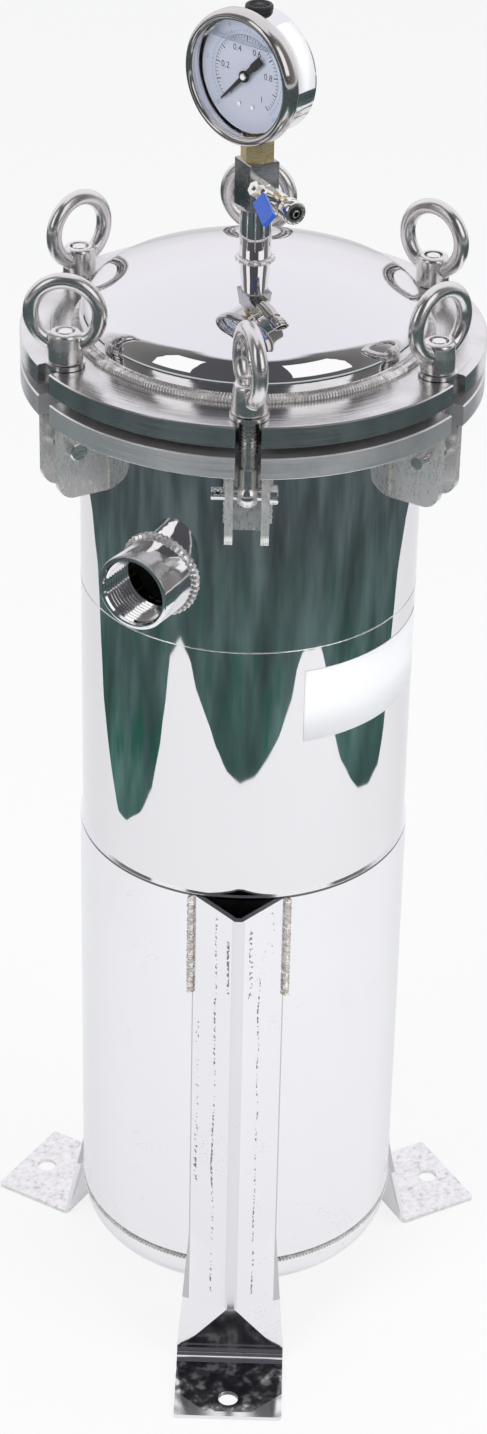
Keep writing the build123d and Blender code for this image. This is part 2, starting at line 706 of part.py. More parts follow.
model = {
    "main_shell": (
        ring(shell_radius, shell_bore_radius, shell_foot_height, seam_z)
        - port(outlet_azimuth, outlet_height)
    ),
    "upper_shell": (
        ring(shell_radius, shell_bore_radius, seam_z, body_flange_z)
        - port(inlet_azimuth, inlet_z)
    ),
    "lower_sleeve": ring(
        sleeve_radius, shell_radius,
        shell_foot_height + sleeve_rise, shell_foot_height + sleeve_rise + sleeve_height,
    ) - port(outlet_azimuth, outlet_height),
    "bottom_head": (
        Pos(0, 0, shell_foot_height) * Rot(180, 0, 0) * dished_head(shell_radius, shell_wall)
    ),
    "body_flange": flange(body_flange_z) - rod(shell_bore_radius, 0, lid_top_z),
    "lid_flange": flange(lid_flange_z) - rod(lid_opening_diameter / 2, 0, lid_top_z + 1),
    "lid_head": lid_head(),
    "lid_gasket": ring(shell_bore_radius + gasket_width, shell_bore_radius, gasket_z, lid_flange_z),
    "inlet_socket": socket(inlet_azimuth, inlet_z, shell_radius),
    "outlet_socket": socket(outlet_azimuth, outlet_height, sleeve_radius),
    "basket_seat": ring(shell_bore_radius, seat_bore_radius, seam_z - seat_thickness, seam_z),
    "basket_seal": ring(collar_radius, collar_radius - seal_width, seam_z, collar_z),
    "filter_basket": filter_basket(),
    "filter_bag": filter_bag(),
    "bag_ring": bag_ring(),
    "lid_stem": lid_stem(),
    "gauge_block": gauge_block(),
    "gauge_connector": gauge_connector(),
    "gauge_case": gauge_case(),
    "gauge_bezel": gauge_bezel(),
    "gauge_window": on_gauge(rod_x(gauge_case_radius - window_clearance, window_x, gauge_front)),
    "gauge_dial": on_gauge(ring_x(
        dial_diameter / 2, arbor_diameter / 2 + arbor_clearance, dial_x, dial_x + dial_thickness,
    )),
    "gauge_movement": gauge_movement(),
    "bourdon_tube": bourdon_tube(),
    "gauge_pointer": gauge_pointer(),
    "gauge_fill_plug": fill_plug(),
    "valve_body": valve_body(),
    "valve_seats": valve_seats(),
    "valve_ball": valve_ball(),
    "valve_stem": valve_stem(),
    "valve_lever": valve_lever(),
    "lever_sleeve": lever_sleeve(),
    "lever_nut": lever_nut(),
    "outlet_nut": outlet_nut(),
    "bolt_lugs": [turned(bolt_lug(), azimuth) for azimuth in bolt_azimuths],
    "clevis_pins": [turned(clevis_pin(), azimuth) for azimuth in bolt_azimuths],
    "split_pins": [turned(split_pin(), azimuth) for azimuth in bolt_azimuths],
}

for name, azimuth in zip(("leg_front", "leg_right", "leg_left"), leg_azimuths):
    model[name] = turned(leg(), azimuth)

for number, azimuth in enumerate(bolt_azimuths, start=1):
    plane_azimuth = nut_plane_azimuths[(number - 1) % len(nut_plane_azimuths)]
    model[f"swing_bolt_{number}"] = turned(swing_bolt(), azimuth)
    model[f"nut_washer_{number}"] = turned(nut_washer(), azimuth)
    nut = Pos(bolt_circle_radius, 0, 0) * eye_nut(plane_azimuth - azimuth)
    model[f"eye_nut_{number}"] = turned(nut, azimuth)

os.makedirs("parts", exist_ok=True)
for name, shape in model.items():
    solids = shape if isinstance(shape, list) else [shape]
    if len(solids) > 1:
        solids = Compound(label=name, children=solids)
    else:
        solids = solids[0]
    export_step(solids, f"parts/{name}.step")
    print(name)
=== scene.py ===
from math import atan2, cos, pi, radians, sin, sqrt, tau
import bmesh
import bpy
from mathutils import Matrix, Vector


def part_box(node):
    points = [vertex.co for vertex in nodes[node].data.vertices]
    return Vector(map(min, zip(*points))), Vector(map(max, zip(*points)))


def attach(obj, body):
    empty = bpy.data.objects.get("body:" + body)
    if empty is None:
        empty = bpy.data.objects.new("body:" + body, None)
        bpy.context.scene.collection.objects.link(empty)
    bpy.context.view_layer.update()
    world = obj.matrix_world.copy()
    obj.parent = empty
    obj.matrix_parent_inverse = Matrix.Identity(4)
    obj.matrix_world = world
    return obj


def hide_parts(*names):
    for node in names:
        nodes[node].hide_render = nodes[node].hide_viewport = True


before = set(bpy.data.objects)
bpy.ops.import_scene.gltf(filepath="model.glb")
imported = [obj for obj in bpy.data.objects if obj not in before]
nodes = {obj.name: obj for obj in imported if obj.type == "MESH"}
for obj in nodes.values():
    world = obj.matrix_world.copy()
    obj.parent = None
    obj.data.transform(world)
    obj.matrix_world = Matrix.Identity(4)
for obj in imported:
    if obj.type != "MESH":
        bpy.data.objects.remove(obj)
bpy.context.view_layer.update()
scene = bpy.context.scene
scene.view_settings.view_transform = "Standard"
print("frame loaded,", len(nodes), "nodes")

# camera
cameraSet = {
    "place": (0.0215, -1.9005, 1.6057),
    "right": (0.9996, 0.0228, 0.018),
    "up": (-0.0272, 0.5164, 0.8559),
    "ahead": (-0.0102, 0.8560, -0.5168),
    "lens": 82.967,
}
cameraData = bpy.data.cameras.new("productCamera")
cameraData.lens = cameraSet["lens"]
cameraData.clip_end = 60
camera = bpy.data.objects.new("productCamera", cameraData)
scene.collection.objects.link(camera)
right, up = Vector(cameraSet["right"]).normalized(), Vector(cameraSet["up"])
back = right.cross(up).normalized()
up = back.cross(right)
camera.matrix_world = Matrix((
    (right.x, up.x, back.x, cameraSet["place"][0]),
    (right.y, up.y, back.y, cameraSet["place"][1]),
    (right.z, up.z, back.z, cameraSet["place"][2]),
    (0, 0, 0, 1),
))
scene.camera = camera


def placeObject(name, data):
    placed = bpy.data.objects.new(name, data)
    scene.collection.objects.link(placed)
    return placed


# small helpers for node trees
def addNode(tree, kind, inputs=None, **settings):
    node = tree.nodes.new("ShaderNode" + kind)
    for key, value in settings.items():
        setattr(node, key, value)
    for key, value in (inputs or {}).items():
        if isinstance(value, bpy.types.NodeSocket):
            tree.links.new(value, node.inputs[key])
        else:
            node.inputs[key].default_value = value
    return node


def rampNode(tree, source, stops, mode="LINEAR"):
    ramp = addNode(tree, "ValToRGB", {0: source})
    ramp.color_ramp.interpolation = mode
    points = ramp.color_ramp.elements
    while len(points) < len(stops):
        points.new(0.5)
    for point, (place, shade) in zip(points, stops):
        point.position = place
        point.color = (*shade, 1) if isinstance(shade, tuple) else (shade, shade, shade, 1)
    return ramp.outputs["Color"]


def mathNode(tree, operation, first, second=0.0, third=0.0):
    return addNode(tree, "Math", {0: first, 1: second, 2: third}, operation=operation).outputs[0]


def times(tree, first, second):
    return mathNode(tree, "MULTIPLY", first, second)


def ownPlace(tree):
    return addNode(tree, "TexCoord").outputs["Object"]


def noiseNode(tree, where, scale, detail, roughness=0.5):
    inputs = {"Vector": where, "Scale": scale, "Detail": detail, "Roughness": roughness}
    return addNode(tree, "TexNoise", inputs).outputs["Fac"]


def mixColour(tree, amount, first, second, blend="MIX"):
    node = addNode(tree, "Mix", data_type="RGBA", blend_type=blend)
    for index, value in ((0, amount), (6, first), (7, second)):
        if isinstance(value, bpy.types.NodeSocket):
            tree.links.new(value, node.inputs[index])
        else:
            node.inputs[index].default_value = value if index == 0 else (*value, 1)
    return node.outputs[2]


# light, floor and room
roomSet = {
    "floorSize": 9.0, "floorWhite": 0.86, "floorShow": 0.82,
    "mat": (0.070, 0.140, 0.128), "matFar": (0.082, 0.108, 0.112), "matReach": 5.0, "matRise": 0.002,
    # azimuth from the vessel's axis and the radius where the green mat begins
    "matEdge": [
        (128, 1.34), (142, 1.26), (151, 1.16), (156, 1.013), (160, 0.906), (168, 0.811), (177, 0.736),
        (186, 0.732), (198, 0.760), (208, 0.813),
        (213, 0.888), (217, 0.982), (220, 1.070), (227, 1.105), (234, 1.071), (238, 1.017), (245, 0.966),
        (252, 0.915), (259, 0.874), (268, 0.855), (278, 0.871), (286, 0.901), (294, 0.943), (300, 0.995),
        (304, 1.059), (308, 1.095), (320, 1.095), (326, 1.03), (332, 0.917), (337, 0.868), (346, 0.827),
        (353, 0.801), (363, 0.793), (373, 0.812), (378, 0.858), (380, 0.919), (383, 1.011),
        (389, 1.16), (398, 1.26), (412, 1.34),
    ],
    "softboxes": ((-53, 14), (46, 21)), "boxLevel": 30, "boxHalf": 22, "boxGlow": (1.15, 1.15, 1.15),
    "floorMirrored": 0.35, "matSteps": 160, "worldLight": 0.55,
}
lampSet = {
    "keyLamp": ((-1.6, -1.9, 2.4), (0, 0, 0.5), (1.4, 1.4), 34.0),
    "fillLamp": ((2.0, -1.2, 1.6), (0, 0, 0.5), (1.6, 1.6), 26.0),
    "topLamp": ((0.2, 0.4, 3.0), (0, 0, 0.4), (2.0, 2.0), 20.0),
}


def litWorld():
    world = bpy.data.worlds.new("studio")
    scene.world = world
    world.use_nodes = True
    tree = world.node_tree
    tree.nodes.clear()
    path = addNode(tree, "LightPath")
    where = addNode(tree, "TexCoord").outputs["Generated"]
    parts = addNode(tree, "SeparateXYZ", {0: where})
    # the mirrored room: pale above and behind, a dark front with two tall softboxes
    height = mathNode(tree, "MULTIPLY_ADD", parts.outputs["Z"], 0.5, 0.5)
    pale = rampNode(tree, height, [
        (0.0, (0.66, 0.66, 0.68)), (0.47, (0.76, 0.76, 0.79)), (0.56, (0.92, 0.91, 0.95)),
        (0.72, (0.98, 0.97, 1.02)), (1.0, (0.92, 0.91, 0.97))])
    turn = mathNode(tree, "ARCTAN2", parts.outputs["X"], times(tree, parts.outputs["Y"], -1.0))
    level = mathNode(tree, "ARCSINE", parts.outputs["Z"])
    side = times(tree, mathNode(tree, "ABSOLUTE", turn), 1 / pi)
    rise = mathNode(tree, "MULTIPLY_ADD", level, 1 / pi, 0.5)
    frontMask = rampNode(tree, side, [(0.0, 1.0), (0.54, 1.0), (0.62, 0.0), (1.0, 0.0)])
    bandMask = rampNode(tree, rise, [(0.0, 1.0), (0.875, 1.0), (0.915, 0.0), (1.0, 0.0)])
    dark = rampNode(tree, side, [
        (0.0, (0.085, 0.088, 0.098)), (0.20, (0.095, 0.095, 0.105)), (0.36, (0.14, 0.137, 0.134)),
        (0.55, (0.24, 0.235, 0.23))])
    room = mixColour(tree, times(tree, frontMask, bandMask), pale, dark)
    for centre, half in roomSet["softboxes"]:
        inTurn = mathNode(tree, "COMPARE", turn, radians(centre), radians(half))
        inLevel = mathNode(tree, "COMPARE", level, radians(roomSet["boxLevel"]), radians(roomSet["boxHalf"]))
        room = mixColour(tree, times(tree, inTurn, inLevel), room, roomSet["boxGlow"])
    shown = addNode(tree, "Background", {"Color": (1, 1, 1, 1), "Strength": 1.0})
    mirrored = addNode(tree, "Background", {"Color": room, "Strength": 1.0})
    lighting = addNode(tree, "Background", {"Color": (0.92, 0.94, 1.0, 1), "Strength": roomSet["worldLight"]})
    first = addNode(tree, "MixShader",
        {0: path.outputs["Is Glossy Ray"], 1: lighting.outputs[0], 2: mirrored.outputs[0]})
    second = addNode(tree, "MixShader",
        {0: path.outputs["Is Camera Ray"], 1: first.outputs[0], 2: shown.outputs[0]})
    addNode(tree, "OutputWorld", {"Surface": second.outputs[0]})


def stagePiece(name, bm, material):
    mesh = bpy.data.meshes.new(name)
    bm.to_mesh(mesh)
    bm.free()
    piece = placeObject(name, mesh)
    mesh.materials.append(material)
    return piece


def stageMaterial(name):
    material = bpy.data.materials.new(name)
    material.use_nodes = True
    material.node_tree.nodes.clear()
    return material, material.node_tree


def floorMaterial():
    material, tree = stageMaterial("studioFloor")
    path = addNode(tree, "LightPath")
    white = roomSet["floorWhite"]
    cloth = addNode(tree, "BsdfDiffuse", {"Color": (white, white, white, 1)})
    glow = addNode(tree, "Emission", {"Color": (1, 1, 1, 1), "Strength": 1.0})
    straight = mathNode(tree, "MAXIMUM", path.outputs["Is Camera Ray"], path.outputs["Is Transmission Ray"])
    share = times(tree, straight, roomSet["floorShow"])
    share = mathNode(tree, "MAXIMUM", share,
        times(tree, path.outputs["Is Glossy Ray"], roomSet["floorMirrored"]))
    mixed = addNode(tree, "MixShader", {0: share, 1: cloth.outputs[0], 2: glow.outputs[0]})
    addNode(tree, "OutputMaterial", {"Surface": mixed.outputs[0]})
    return material


def matMaterial():
    material, tree = stageMaterial("greenMat")
    where = ownPlace(tree)
    noise = noiseNode(tree, where, 3.0, 3.0)
    reach = addNode(tree, "VectorMath", {0: where}, operation="LENGTH").outputs["Value"]
    blend = rampNode(tree, times(tree, reach, 0.5), [(0.42, 0.0), (0.66, 1.0)])
    base = mixColour(tree, blend, roomSet["mat"], roomSet["matFar"])
    cloud = rampNode(tree, noise, [(0.30, 0.45), (0.48, 0.85), (0.70, 1.55)])
    shade = mixColour(tree, 1.0, base, cloud, "MULTIPLY")
    vivid = noiseNode(tree, where, 5.5, 2.0)
    patch = rampNode(tree, vivid, [(0.52, 0.0), (0.66, 0.8)])
    shade = mixColour(tree, times(tree, patch, mathNode(tree, "SUBTRACT", 1.0, blend)), shade,
        (0.012, 0.105, 0.062))
    glow = addNode(tree, "Emission", {"Color": shade, "Strength": 1.0})
    addNode(tree, "OutputMaterial", {"Surface": glow.outputs[0]})
    return material


def layFloor():
    bm = bmesh.new()
    bmesh.ops.create_grid(bm, x_segments=2, y_segments=2, size=roomSet["floorSize"])
    stagePiece("studioFloor", bm, floorMaterial())
    # green mat further out, seen only in the polished steel
    bm = bmesh.new()
    edge = roomSet["matEdge"]
    span = edge[-1][0] - edge[0][0]
    steps = roomSet["matSteps"]
    strip = []
    for step in range(steps + 1):
        azimuth = edge[0][0] + span * step / steps
        for (a0, r0), (a1, r1) in zip(edge, edge[1:]):
            if a0 <= azimuth <= a1:
                reach = r0 + (r1 - r0) * (azimuth - a0) / (a1 - a0)
        turn = radians(azimuth)
        strip.append(bm.verts.new((reach * cos(turn), reach * sin(turn), roomSet["matRise"])))
    rims = [bm.edges.new(pair) for pair in zip(strip, strip[1:])]
    outer = bmesh.ops.extrude_edge_only(bm, edges=rims)["geom"]
    for vert in [g for g in outer if isinstance(g, bmesh.types.BMVert)]:
        flat = Vector((vert.co.x, vert.co.y, 0)).normalized() * roomSet["matReach"]
        vert.co = (flat.x, flat.y, roomSet["matRise"])
    mat = stagePiece("greenMat", bm, matMaterial())
    mat.visible_camera = False
    mat.visible_diffuse = False
    mat.visible_shadow = False
    mat.visible_transmission = False


def addLamp(name, place, target, size, power):
    data = bpy.data.lights.new(name, "AREA")
    data.shape = "RECTANGLE"
    data.size, data.size_y = size
    data.energy = power
    lamp = placeObject(name, data)
    lamp.location = place
    lamp.rotation_mode = "QUATERNION"
    lamp.rotation_quaternion = (Vector(target) - Vector(place)).to_track_quat("-Z", "Y")
    lamp.visible_glossy = False


litWorld()
layFloor()
for name, (place, target, size, power) in lampSet.items():
    addLamp(name, place, target, size, power)
print("stage and lamps placed")


# shared surface effects
def newGroup(name, inputs, outputs):
    group = bpy.data.node_groups.new(name, "ShaderNodeTree")
    for label, value in inputs:
        socket = group.interface.new_socket(name=label, in_out="INPUT", socket_type="NodeSocketFloat")
        socket.default_value = value
    for label in outputs:
        group.interface.new_socket(name=label, in_out="OUTPUT", socket_type="NodeSocketFloat")
    return group, group.nodes.new("NodeGroupInput"), group.nodes.new("NodeGroupOutput")


def makeSmudgeGroup():
    group, start, end = newGroup("polishSmudge", [("Scale", 14.0), ("Amount", 1.0)],
                                 ("Mask", "Height"))
    where = ownPlace(group)
    cloud = noiseNode(group, where, start.outputs["Scale"], 5.0, 0.6)
    mask = rampNode(group, cloud, [(0.42, 0.0), (0.68, 1.0)])
    group.links.new(times(group, mask, start.outputs["Amount"]), end.inputs["Mask"])
    stretch = addNode(group, "Mapping", {"Vector": where, "Scale": (1.0, 1.0, 0.25)})
    wave = noiseNode(group, stretch.outputs[0], times(group, start.outputs["Scale"], 1.3), 1.0)
    group.links.new(wave, end.inputs["Height"])
    return group


def makeBrushGroup():
    group, start, end = newGroup("brushGrain",
                                 [("Scale", 600.0), ("Along X", 1.0), ("Along Y", 1.0), ("Along Z", 0.03)],
                                 ("Height", "Mask"))
    where = ownPlace(group)
    stretch = addNode(group, "CombineXYZ",
        {0: start.outputs["Along X"], 1: start.outputs["Along Y"], 2: start.outputs["Along Z"]})
    moved = addNode(group, "VectorMath", {0: where, 1: stretch.outputs[0]}, operation="MULTIPLY")
    grain = noiseNode(group, moved.outputs[0], start.outputs["Scale"], 3.0, 0.55)
    group.links.new(grain, end.inputs["Height"])
    group.links.new(rampNode(group, grain, [(0.40, 0.0), (0.62, 1.0)]), end.inputs["Mask"])
    return group


def makeLatheGroup():
    group, start, end = newGroup("latheRings", [("Pitch", 900.0)],
                                 ("Height", "Mask"))
    where = ownPlace(group)
    parts = addNode(group, "SeparateXYZ", {0: where})
    flat = addNode(group, "CombineXYZ", {0: parts.outputs["X"], 1: parts.outputs["Y"]})
    reach = addNode(group, "VectorMath", {0: flat.outputs[0]}, operation="LENGTH").outputs["Value"]
    angle = mathNode(group, "ARCTAN2", parts.outputs["Y"], parts.outputs["X"])
    spot = addNode(group, "CombineXYZ",
        {0: times(group, reach, start.outputs["Pitch"]), 1: times(group, angle, 1.6),
        2: times(group, parts.outputs["Z"], start.outputs["Pitch"])})
    rings = noiseNode(group, spot.outputs[0], 1.0, 2.0)
    group.links.new(rings, end.inputs["Height"])
    group.links.new(rampNode(group, rings, [(0.38, 0.0), (0.62, 1.0)]), end.inputs["Mask"])
    return group


def makePitGroup():
    group, start, end = newGroup("finePits", [("Scale", 260.0), ("Density", 0.5)],
                                 ("Mask", "Height"))
    where = ownPlace(group)
    cells = addNode(group, "TexVoronoi", {"Vector": where, "Scale": start.outputs["Scale"]}, feature="F1")
    spots = rampNode(group, cells.outputs["Distance"], [(0.0, 1.0), (0.22, 0.0)])
    cloud = noiseNode(group, where, 22.0, 2.0)
    patches = mathNode(group, "GREATER_THAN", cloud, mathNode(group, "SUBTRACT", 1.0, start.outputs["Density"]))
    mask = times(group, spots, patches)
    group.links.new(mask, end.inputs["Mask"])
    group.links.new(mathNode(group, "SUBTRACT", 1.0, mask), end.inputs["Height"])
    return group


smudgeGroup, brushGroup = makeSmudgeGroup(), makeBrushGroup()
latheGroup, pitGroup = makeLatheGroup(), makePitGroup()


# materials
class Surface:
    def __init__(self, name, colour, metallic=0.0, roughness=0.5, **sockets):
        self.material = bpy.data.materials.new(name)
        self.material.use_nodes = True
        self.tree = self.material.node_tree
        self.shader = self.tree.nodes["Principled BSDF"]
        self.shader.inputs["Base Color"].default_value = (*colour, 1)
        self.shader.inputs["Metallic"].default_value = metallic
        self.shader.inputs["Roughness"].default_value = roughness
        for key, value in sockets.items():
            self.shader.inputs[key.replace("_", " ")].default_value = value
        self.colour = colour

    def group(self, group, **inputs):
        node = addNode(self.tree, "Group")
        node.node_tree = group
        for key, value in inputs.items():
            node.inputs[key.replace("_", " ")].default_value = value
        return node

    def smudge(self, scale, low, high, bump=None, tint=None):
        node = self.group(smudgeGroup, Scale=scale)
        self.rough(node, low, high)
        if bump:
            self.bump(node, *bump)
        if tint:
            self.tint(node.outputs["Mask"], tint)

    def tint(self, mask, shade):
        previous = self.shader.inputs["Base Color"]
        first = previous.links[0].from_socket if previous.links else self.colour
        self.tree.links.new(mixColour(self.tree, mask, first, shade), previous)

    def rough(self, effect, low, high):
        scaled = mathNode(self.tree, "MULTIPLY_ADD", effect.outputs["Mask"], high - low, low)
        self.tree.links.new(scaled, self.shader.inputs["Roughness"])

    def bump(self, effect, strength, distance):
        previous = self.shader.inputs["Normal"]
        node = addNode(self.tree, "Bump",
            {"Height": effect.outputs["Height"], "Strength": strength, "Distance": distance})
        if previous.links:
            self.tree.links.new(previous.links[0].from_socket, node.inputs["Normal"])
        self.tree.links.new(node.outputs[0], previous)


def mirrorSteel():
    skin = Surface("mirrorSteel", (0.84, 0.83, 0.845), 1.0, 0.04)
    skin.smudge(16.0, 0.012, 0.040, (0.10, 0.004))
    ripple = skin.group(smudgeGroup, Scale=55.0)
    skin.bump(ripple, 0.06, 0.001)
    return skin.material


# painted shade: a thin dark band along the sleeve's top edge, just under its end face
sleeveEdgeShade = {"level": 0.3858, "half": 0.0009, "shade": (0.16, 0.15, 0.15)}


def sleeveSteel():
    skin = Surface("sleeveSteel", (0.91, 0.905, 0.925), 1.0, 0.16)
    skin.smudge(12.0, 0.13, 0.20, (0.10, 0.003))
    pits = skin.group(pitGroup, Scale=420.0, Density=0.36)
    skin.tint(pits.outputs["Mask"], (0.35, 0.35, 0.37))
    where = ownPlace(skin.tree)
    level = addNode(skin.tree, "SeparateXYZ", {0: where}).outputs["Z"]
    # paint the dark shade line along the sleeve's top edge
    skin.tint(mathNode(skin.tree, "COMPARE", level, sleeveEdgeShade["level"], sleeveEdgeShade["half"]),
        sleeveEdgeShade["shade"])
    return skin.material


def flangeSteel(name, colour, low, high, metallic=1.0):
    skin = Surface(name, colour, metallic, 0.24)
    lathe = skin.group(latheGroup, Pitch=1100.0)
    skin.rough(lathe, low, high)
    skin.bump(lathe, 0.14, 0.0006)
    cloud = skin.group(smudgeGroup, Scale=26.0, Amount=0.35)
    skin.tint(cloud.outputs["Mask"], (0.42, 0.41, 0.41))
    return skin.material


def castSteel(name="castSteel", colour=(0.80, 0.78, 0.77), rough=0.20):
    skin = Surface(name, colour, 1.0, 0.2)
    skin.smudge(70.0, rough, rough + 0.12, (0.22, 0.0015))
    pits = skin.group(pitGroup, Scale=700.0, Density=0.5)
    skin.bump(pits, 0.15, 0.0003)
    return skin.material


def turnedSteel(name="turnedSteel", colour=(0.86, 0.85, 0.84), low=0.10, high=0.24):
    skin = Surface(name, colour, 1.0, 0.22)
    grain = skin.group(brushGroup, Scale=500.0, Along_X=0.4, Along_Y=0.4, Along_Z=3.0)
    skin.rough(grain, low, high)
    skin.bump(grain, 0.15, 0.0003)
    return skin.material


def lugSteel():
    skin = Surface("lugSteel", (0.80, 0.79, 0.78), 0.72, 0.24)
    grain = skin.group(brushGroup, Scale=380.0, Along_X=1.0, Along_Y=1.0, Along_Z=0.4)
    skin.rough(grain, 0.26, 0.40)
    skin.bump(grain, 0.08, 0.0003)
    # brown heat tint next to the weld under the flange
    where = ownPlace(skin.tree)
    level = addNode(skin.tree, "SeparateXYZ", {0: where}).outputs["Z"]
    noise = noiseNode(skin.tree, where, 120.0, 3.0)
    near = mathNode(skin.tree, "MULTIPLY_ADD", noise, 0.010, level)
    mask = rampNode(skin.tree, mathNode(skin.tree, "MULTIPLY_ADD", near, 40.0, -27.9),
        [(0.25, 0.0), (0.9, 0.40)])
    skin.tint(mask, (0.44, 0.35, 0.27))
    return skin.material


# offset across the leg, foot, top, half width, how broken
scuffLines = (
    (-0.0146, 0.060, 0.378, 0.0006, 0.78), (0.0146, 0.060, 0.330, 0.0005, 0.80),
    (-0.0262, 0.140, 0.290, 0.0011, 0.86),
    (-0.0062, 0.320, 0.362, 0.0008, 0.76), (0.0085, 0.316, 0.372, 0.0011, 0.79),
    (0.0215, 0.345, 0.378, 0.0040, 0.93),
)


# places on the leg; the ridge band and the edge band set where painted shade lies along the fold and the leg's
# outer edges
legMarks = {
    "bendTop": 0.05, "ridgeShadeHalf": 0.0042, "legEdgeShade": 0.0297, "footTop": 0.0068,
    "cornerStart": 0.016, "toe": 0.1815, "heel": 0.1315,
}


def legSteel(name, azimuth, footTones, cloudScale, margins):
    skin = Surface(name, (0.90, 0.895, 0.915), 1.0, 0.14)
    skin.smudge(18.0, 0.09, 0.18, (0.12, 0.003))
    pits = skin.group(pitGroup, Scale=520.0, Density=0.40)
    skin.tint(pits.outputs["Mask"], (0.30, 0.30, 0.31))
    # broken scuff lines left by the folding tool along both faces
    tree = skin.tree
    where = ownPlace(tree)
    turned = addNode(tree, "Mapping", {"Vector": where, "Rotation": (0, 0, radians(-azimuth))})
    parts = addNode(tree, "SeparateXYZ", {0: turned.outputs[0]})
    specks = noiseNode(tree, where, 420.0, 2.0)
    patchy = noiseNode(tree, where, 24.0, 2.0)
    wander = mathNode(tree, "MULTIPLY_ADD", patchy, 0.004, -0.002)
    across = mathNode(tree, "ADD", parts.outputs["Y"], wander)
    for offset, low, high, width, need in scuffLines:
        line = mathNode(tree, "COMPARE", across, offset, width)
        span = mathNode(tree, "COMPARE", parts.outputs["Z"], (low + high) / 2, (high - low) / 2)
        broken = mathNode(tree, "GREATER_THAN", mathNode(tree, "MULTIPLY_ADD", patchy, 0.5, specks), need)
        mask = times(tree, times(tree, line, span), broken)
        skin.tint(mask, (0.24, 0.23, 0.23))
    above = mathNode(tree, "GREATER_THAN", parts.outputs["Z"], legMarks["bendTop"])
    # painted shade: a soft grey band along the fold's ridge above the bend
    ridgeShade = mathNode(tree, "COMPARE", parts.outputs["Y"], 0.0, legMarks["ridgeShadeHalf"])
    skin.tint(times(tree, times(tree, ridgeShade, above), 0.5), (0.70, 0.70, 0.72))
    # painted shade: darker bands along both outer edges of the leg above the bend
    legEdgeShade = mathNode(tree, "GREATER_THAN", mathNode(tree, "ABSOLUTE", parts.outputs["Y"]), legMarks["legEdgeShade"])
    skin.tint(times(tree, times(tree, legEdgeShade, above), 0.7), (0.42, 0.41, 0.43))
    # the side feet are clouded with pale etched specks; the mirror front foot gets dark clouds as a painted
    # reflection and keeps bright margins
    cloud = noiseNode(tree, where, cloudScale, 4.0)
    shade = rampNode(tree, cloud, footTones)
    foot = mathNode(tree, "LESS_THAN", parts.outputs["Z"], legMarks["footTop"])
    if margins:
        corner = mathNode(tree, "MAXIMUM",
            mathNode(tree, "SUBTRACT", mathNode(tree, "ABSOLUTE", parts.outputs["Y"]), legMarks["cornerStart"]),
            0.0)
        outer = mathNode(tree, "LESS_THAN", mathNode(tree, "MULTIPLY_ADD", corner, 0.9, parts.outputs["X"]),
            legMarks["toe"])
        inner = mathNode(tree, "GREATER_THAN", parts.outputs["X"], legMarks["heel"])
        foot = times(tree, foot, times(tree, outer, inner))
    skin.tint(foot, shade)
    return skin.material


def smudgedSkin(name, colour, metallic, roughness, scale, low, high, bump=None, tint=None, **sockets):
    skin = Surface(name, colour, metallic, roughness, **sockets)
    skin.smudge(scale, low, high, bump, tint)
    return skin.material


def brassMetal():
    skin = Surface("machinedBrass", (0.95, 0.74, 0.42), 0.85, 0.22)
    grain = skin.group(brushGroup, Scale=500.0, Along_X=0.4, Along_Y=0.4, Along_Z=3.0)
    skin.rough(grain, 0.24, 0.38)
    skin.bump(grain, 0.10, 0.0003)
    return skin.material


def blackRubber():
    skin = Surface("blackRubber", (0.018, 0.018, 0.019), 0.0, 0.55)
    pits = skin.group(pitGroup, Scale=900.0, Density=0.6)
    skin.bump(pits, 0.2, 0.0003)
    skin.smudge(90.0, 0.45, 0.70)
    return skin.material


def bagFelt():
    skin = Surface("bagFelt", (0.74, 0.73, 0.70), 0.0, 0.9, Sheen_Weight=0.3)
    pits = skin.group(pitGroup, Scale=600.0, Density=0.7)
    skin.bump(pits, 0.4, 0.001)
    smudge = skin.group(smudgeGroup, Scale=60.0)
    skin.tint(smudge.outputs["Mask"], (0.66, 0.65, 0.62))
    return skin.material
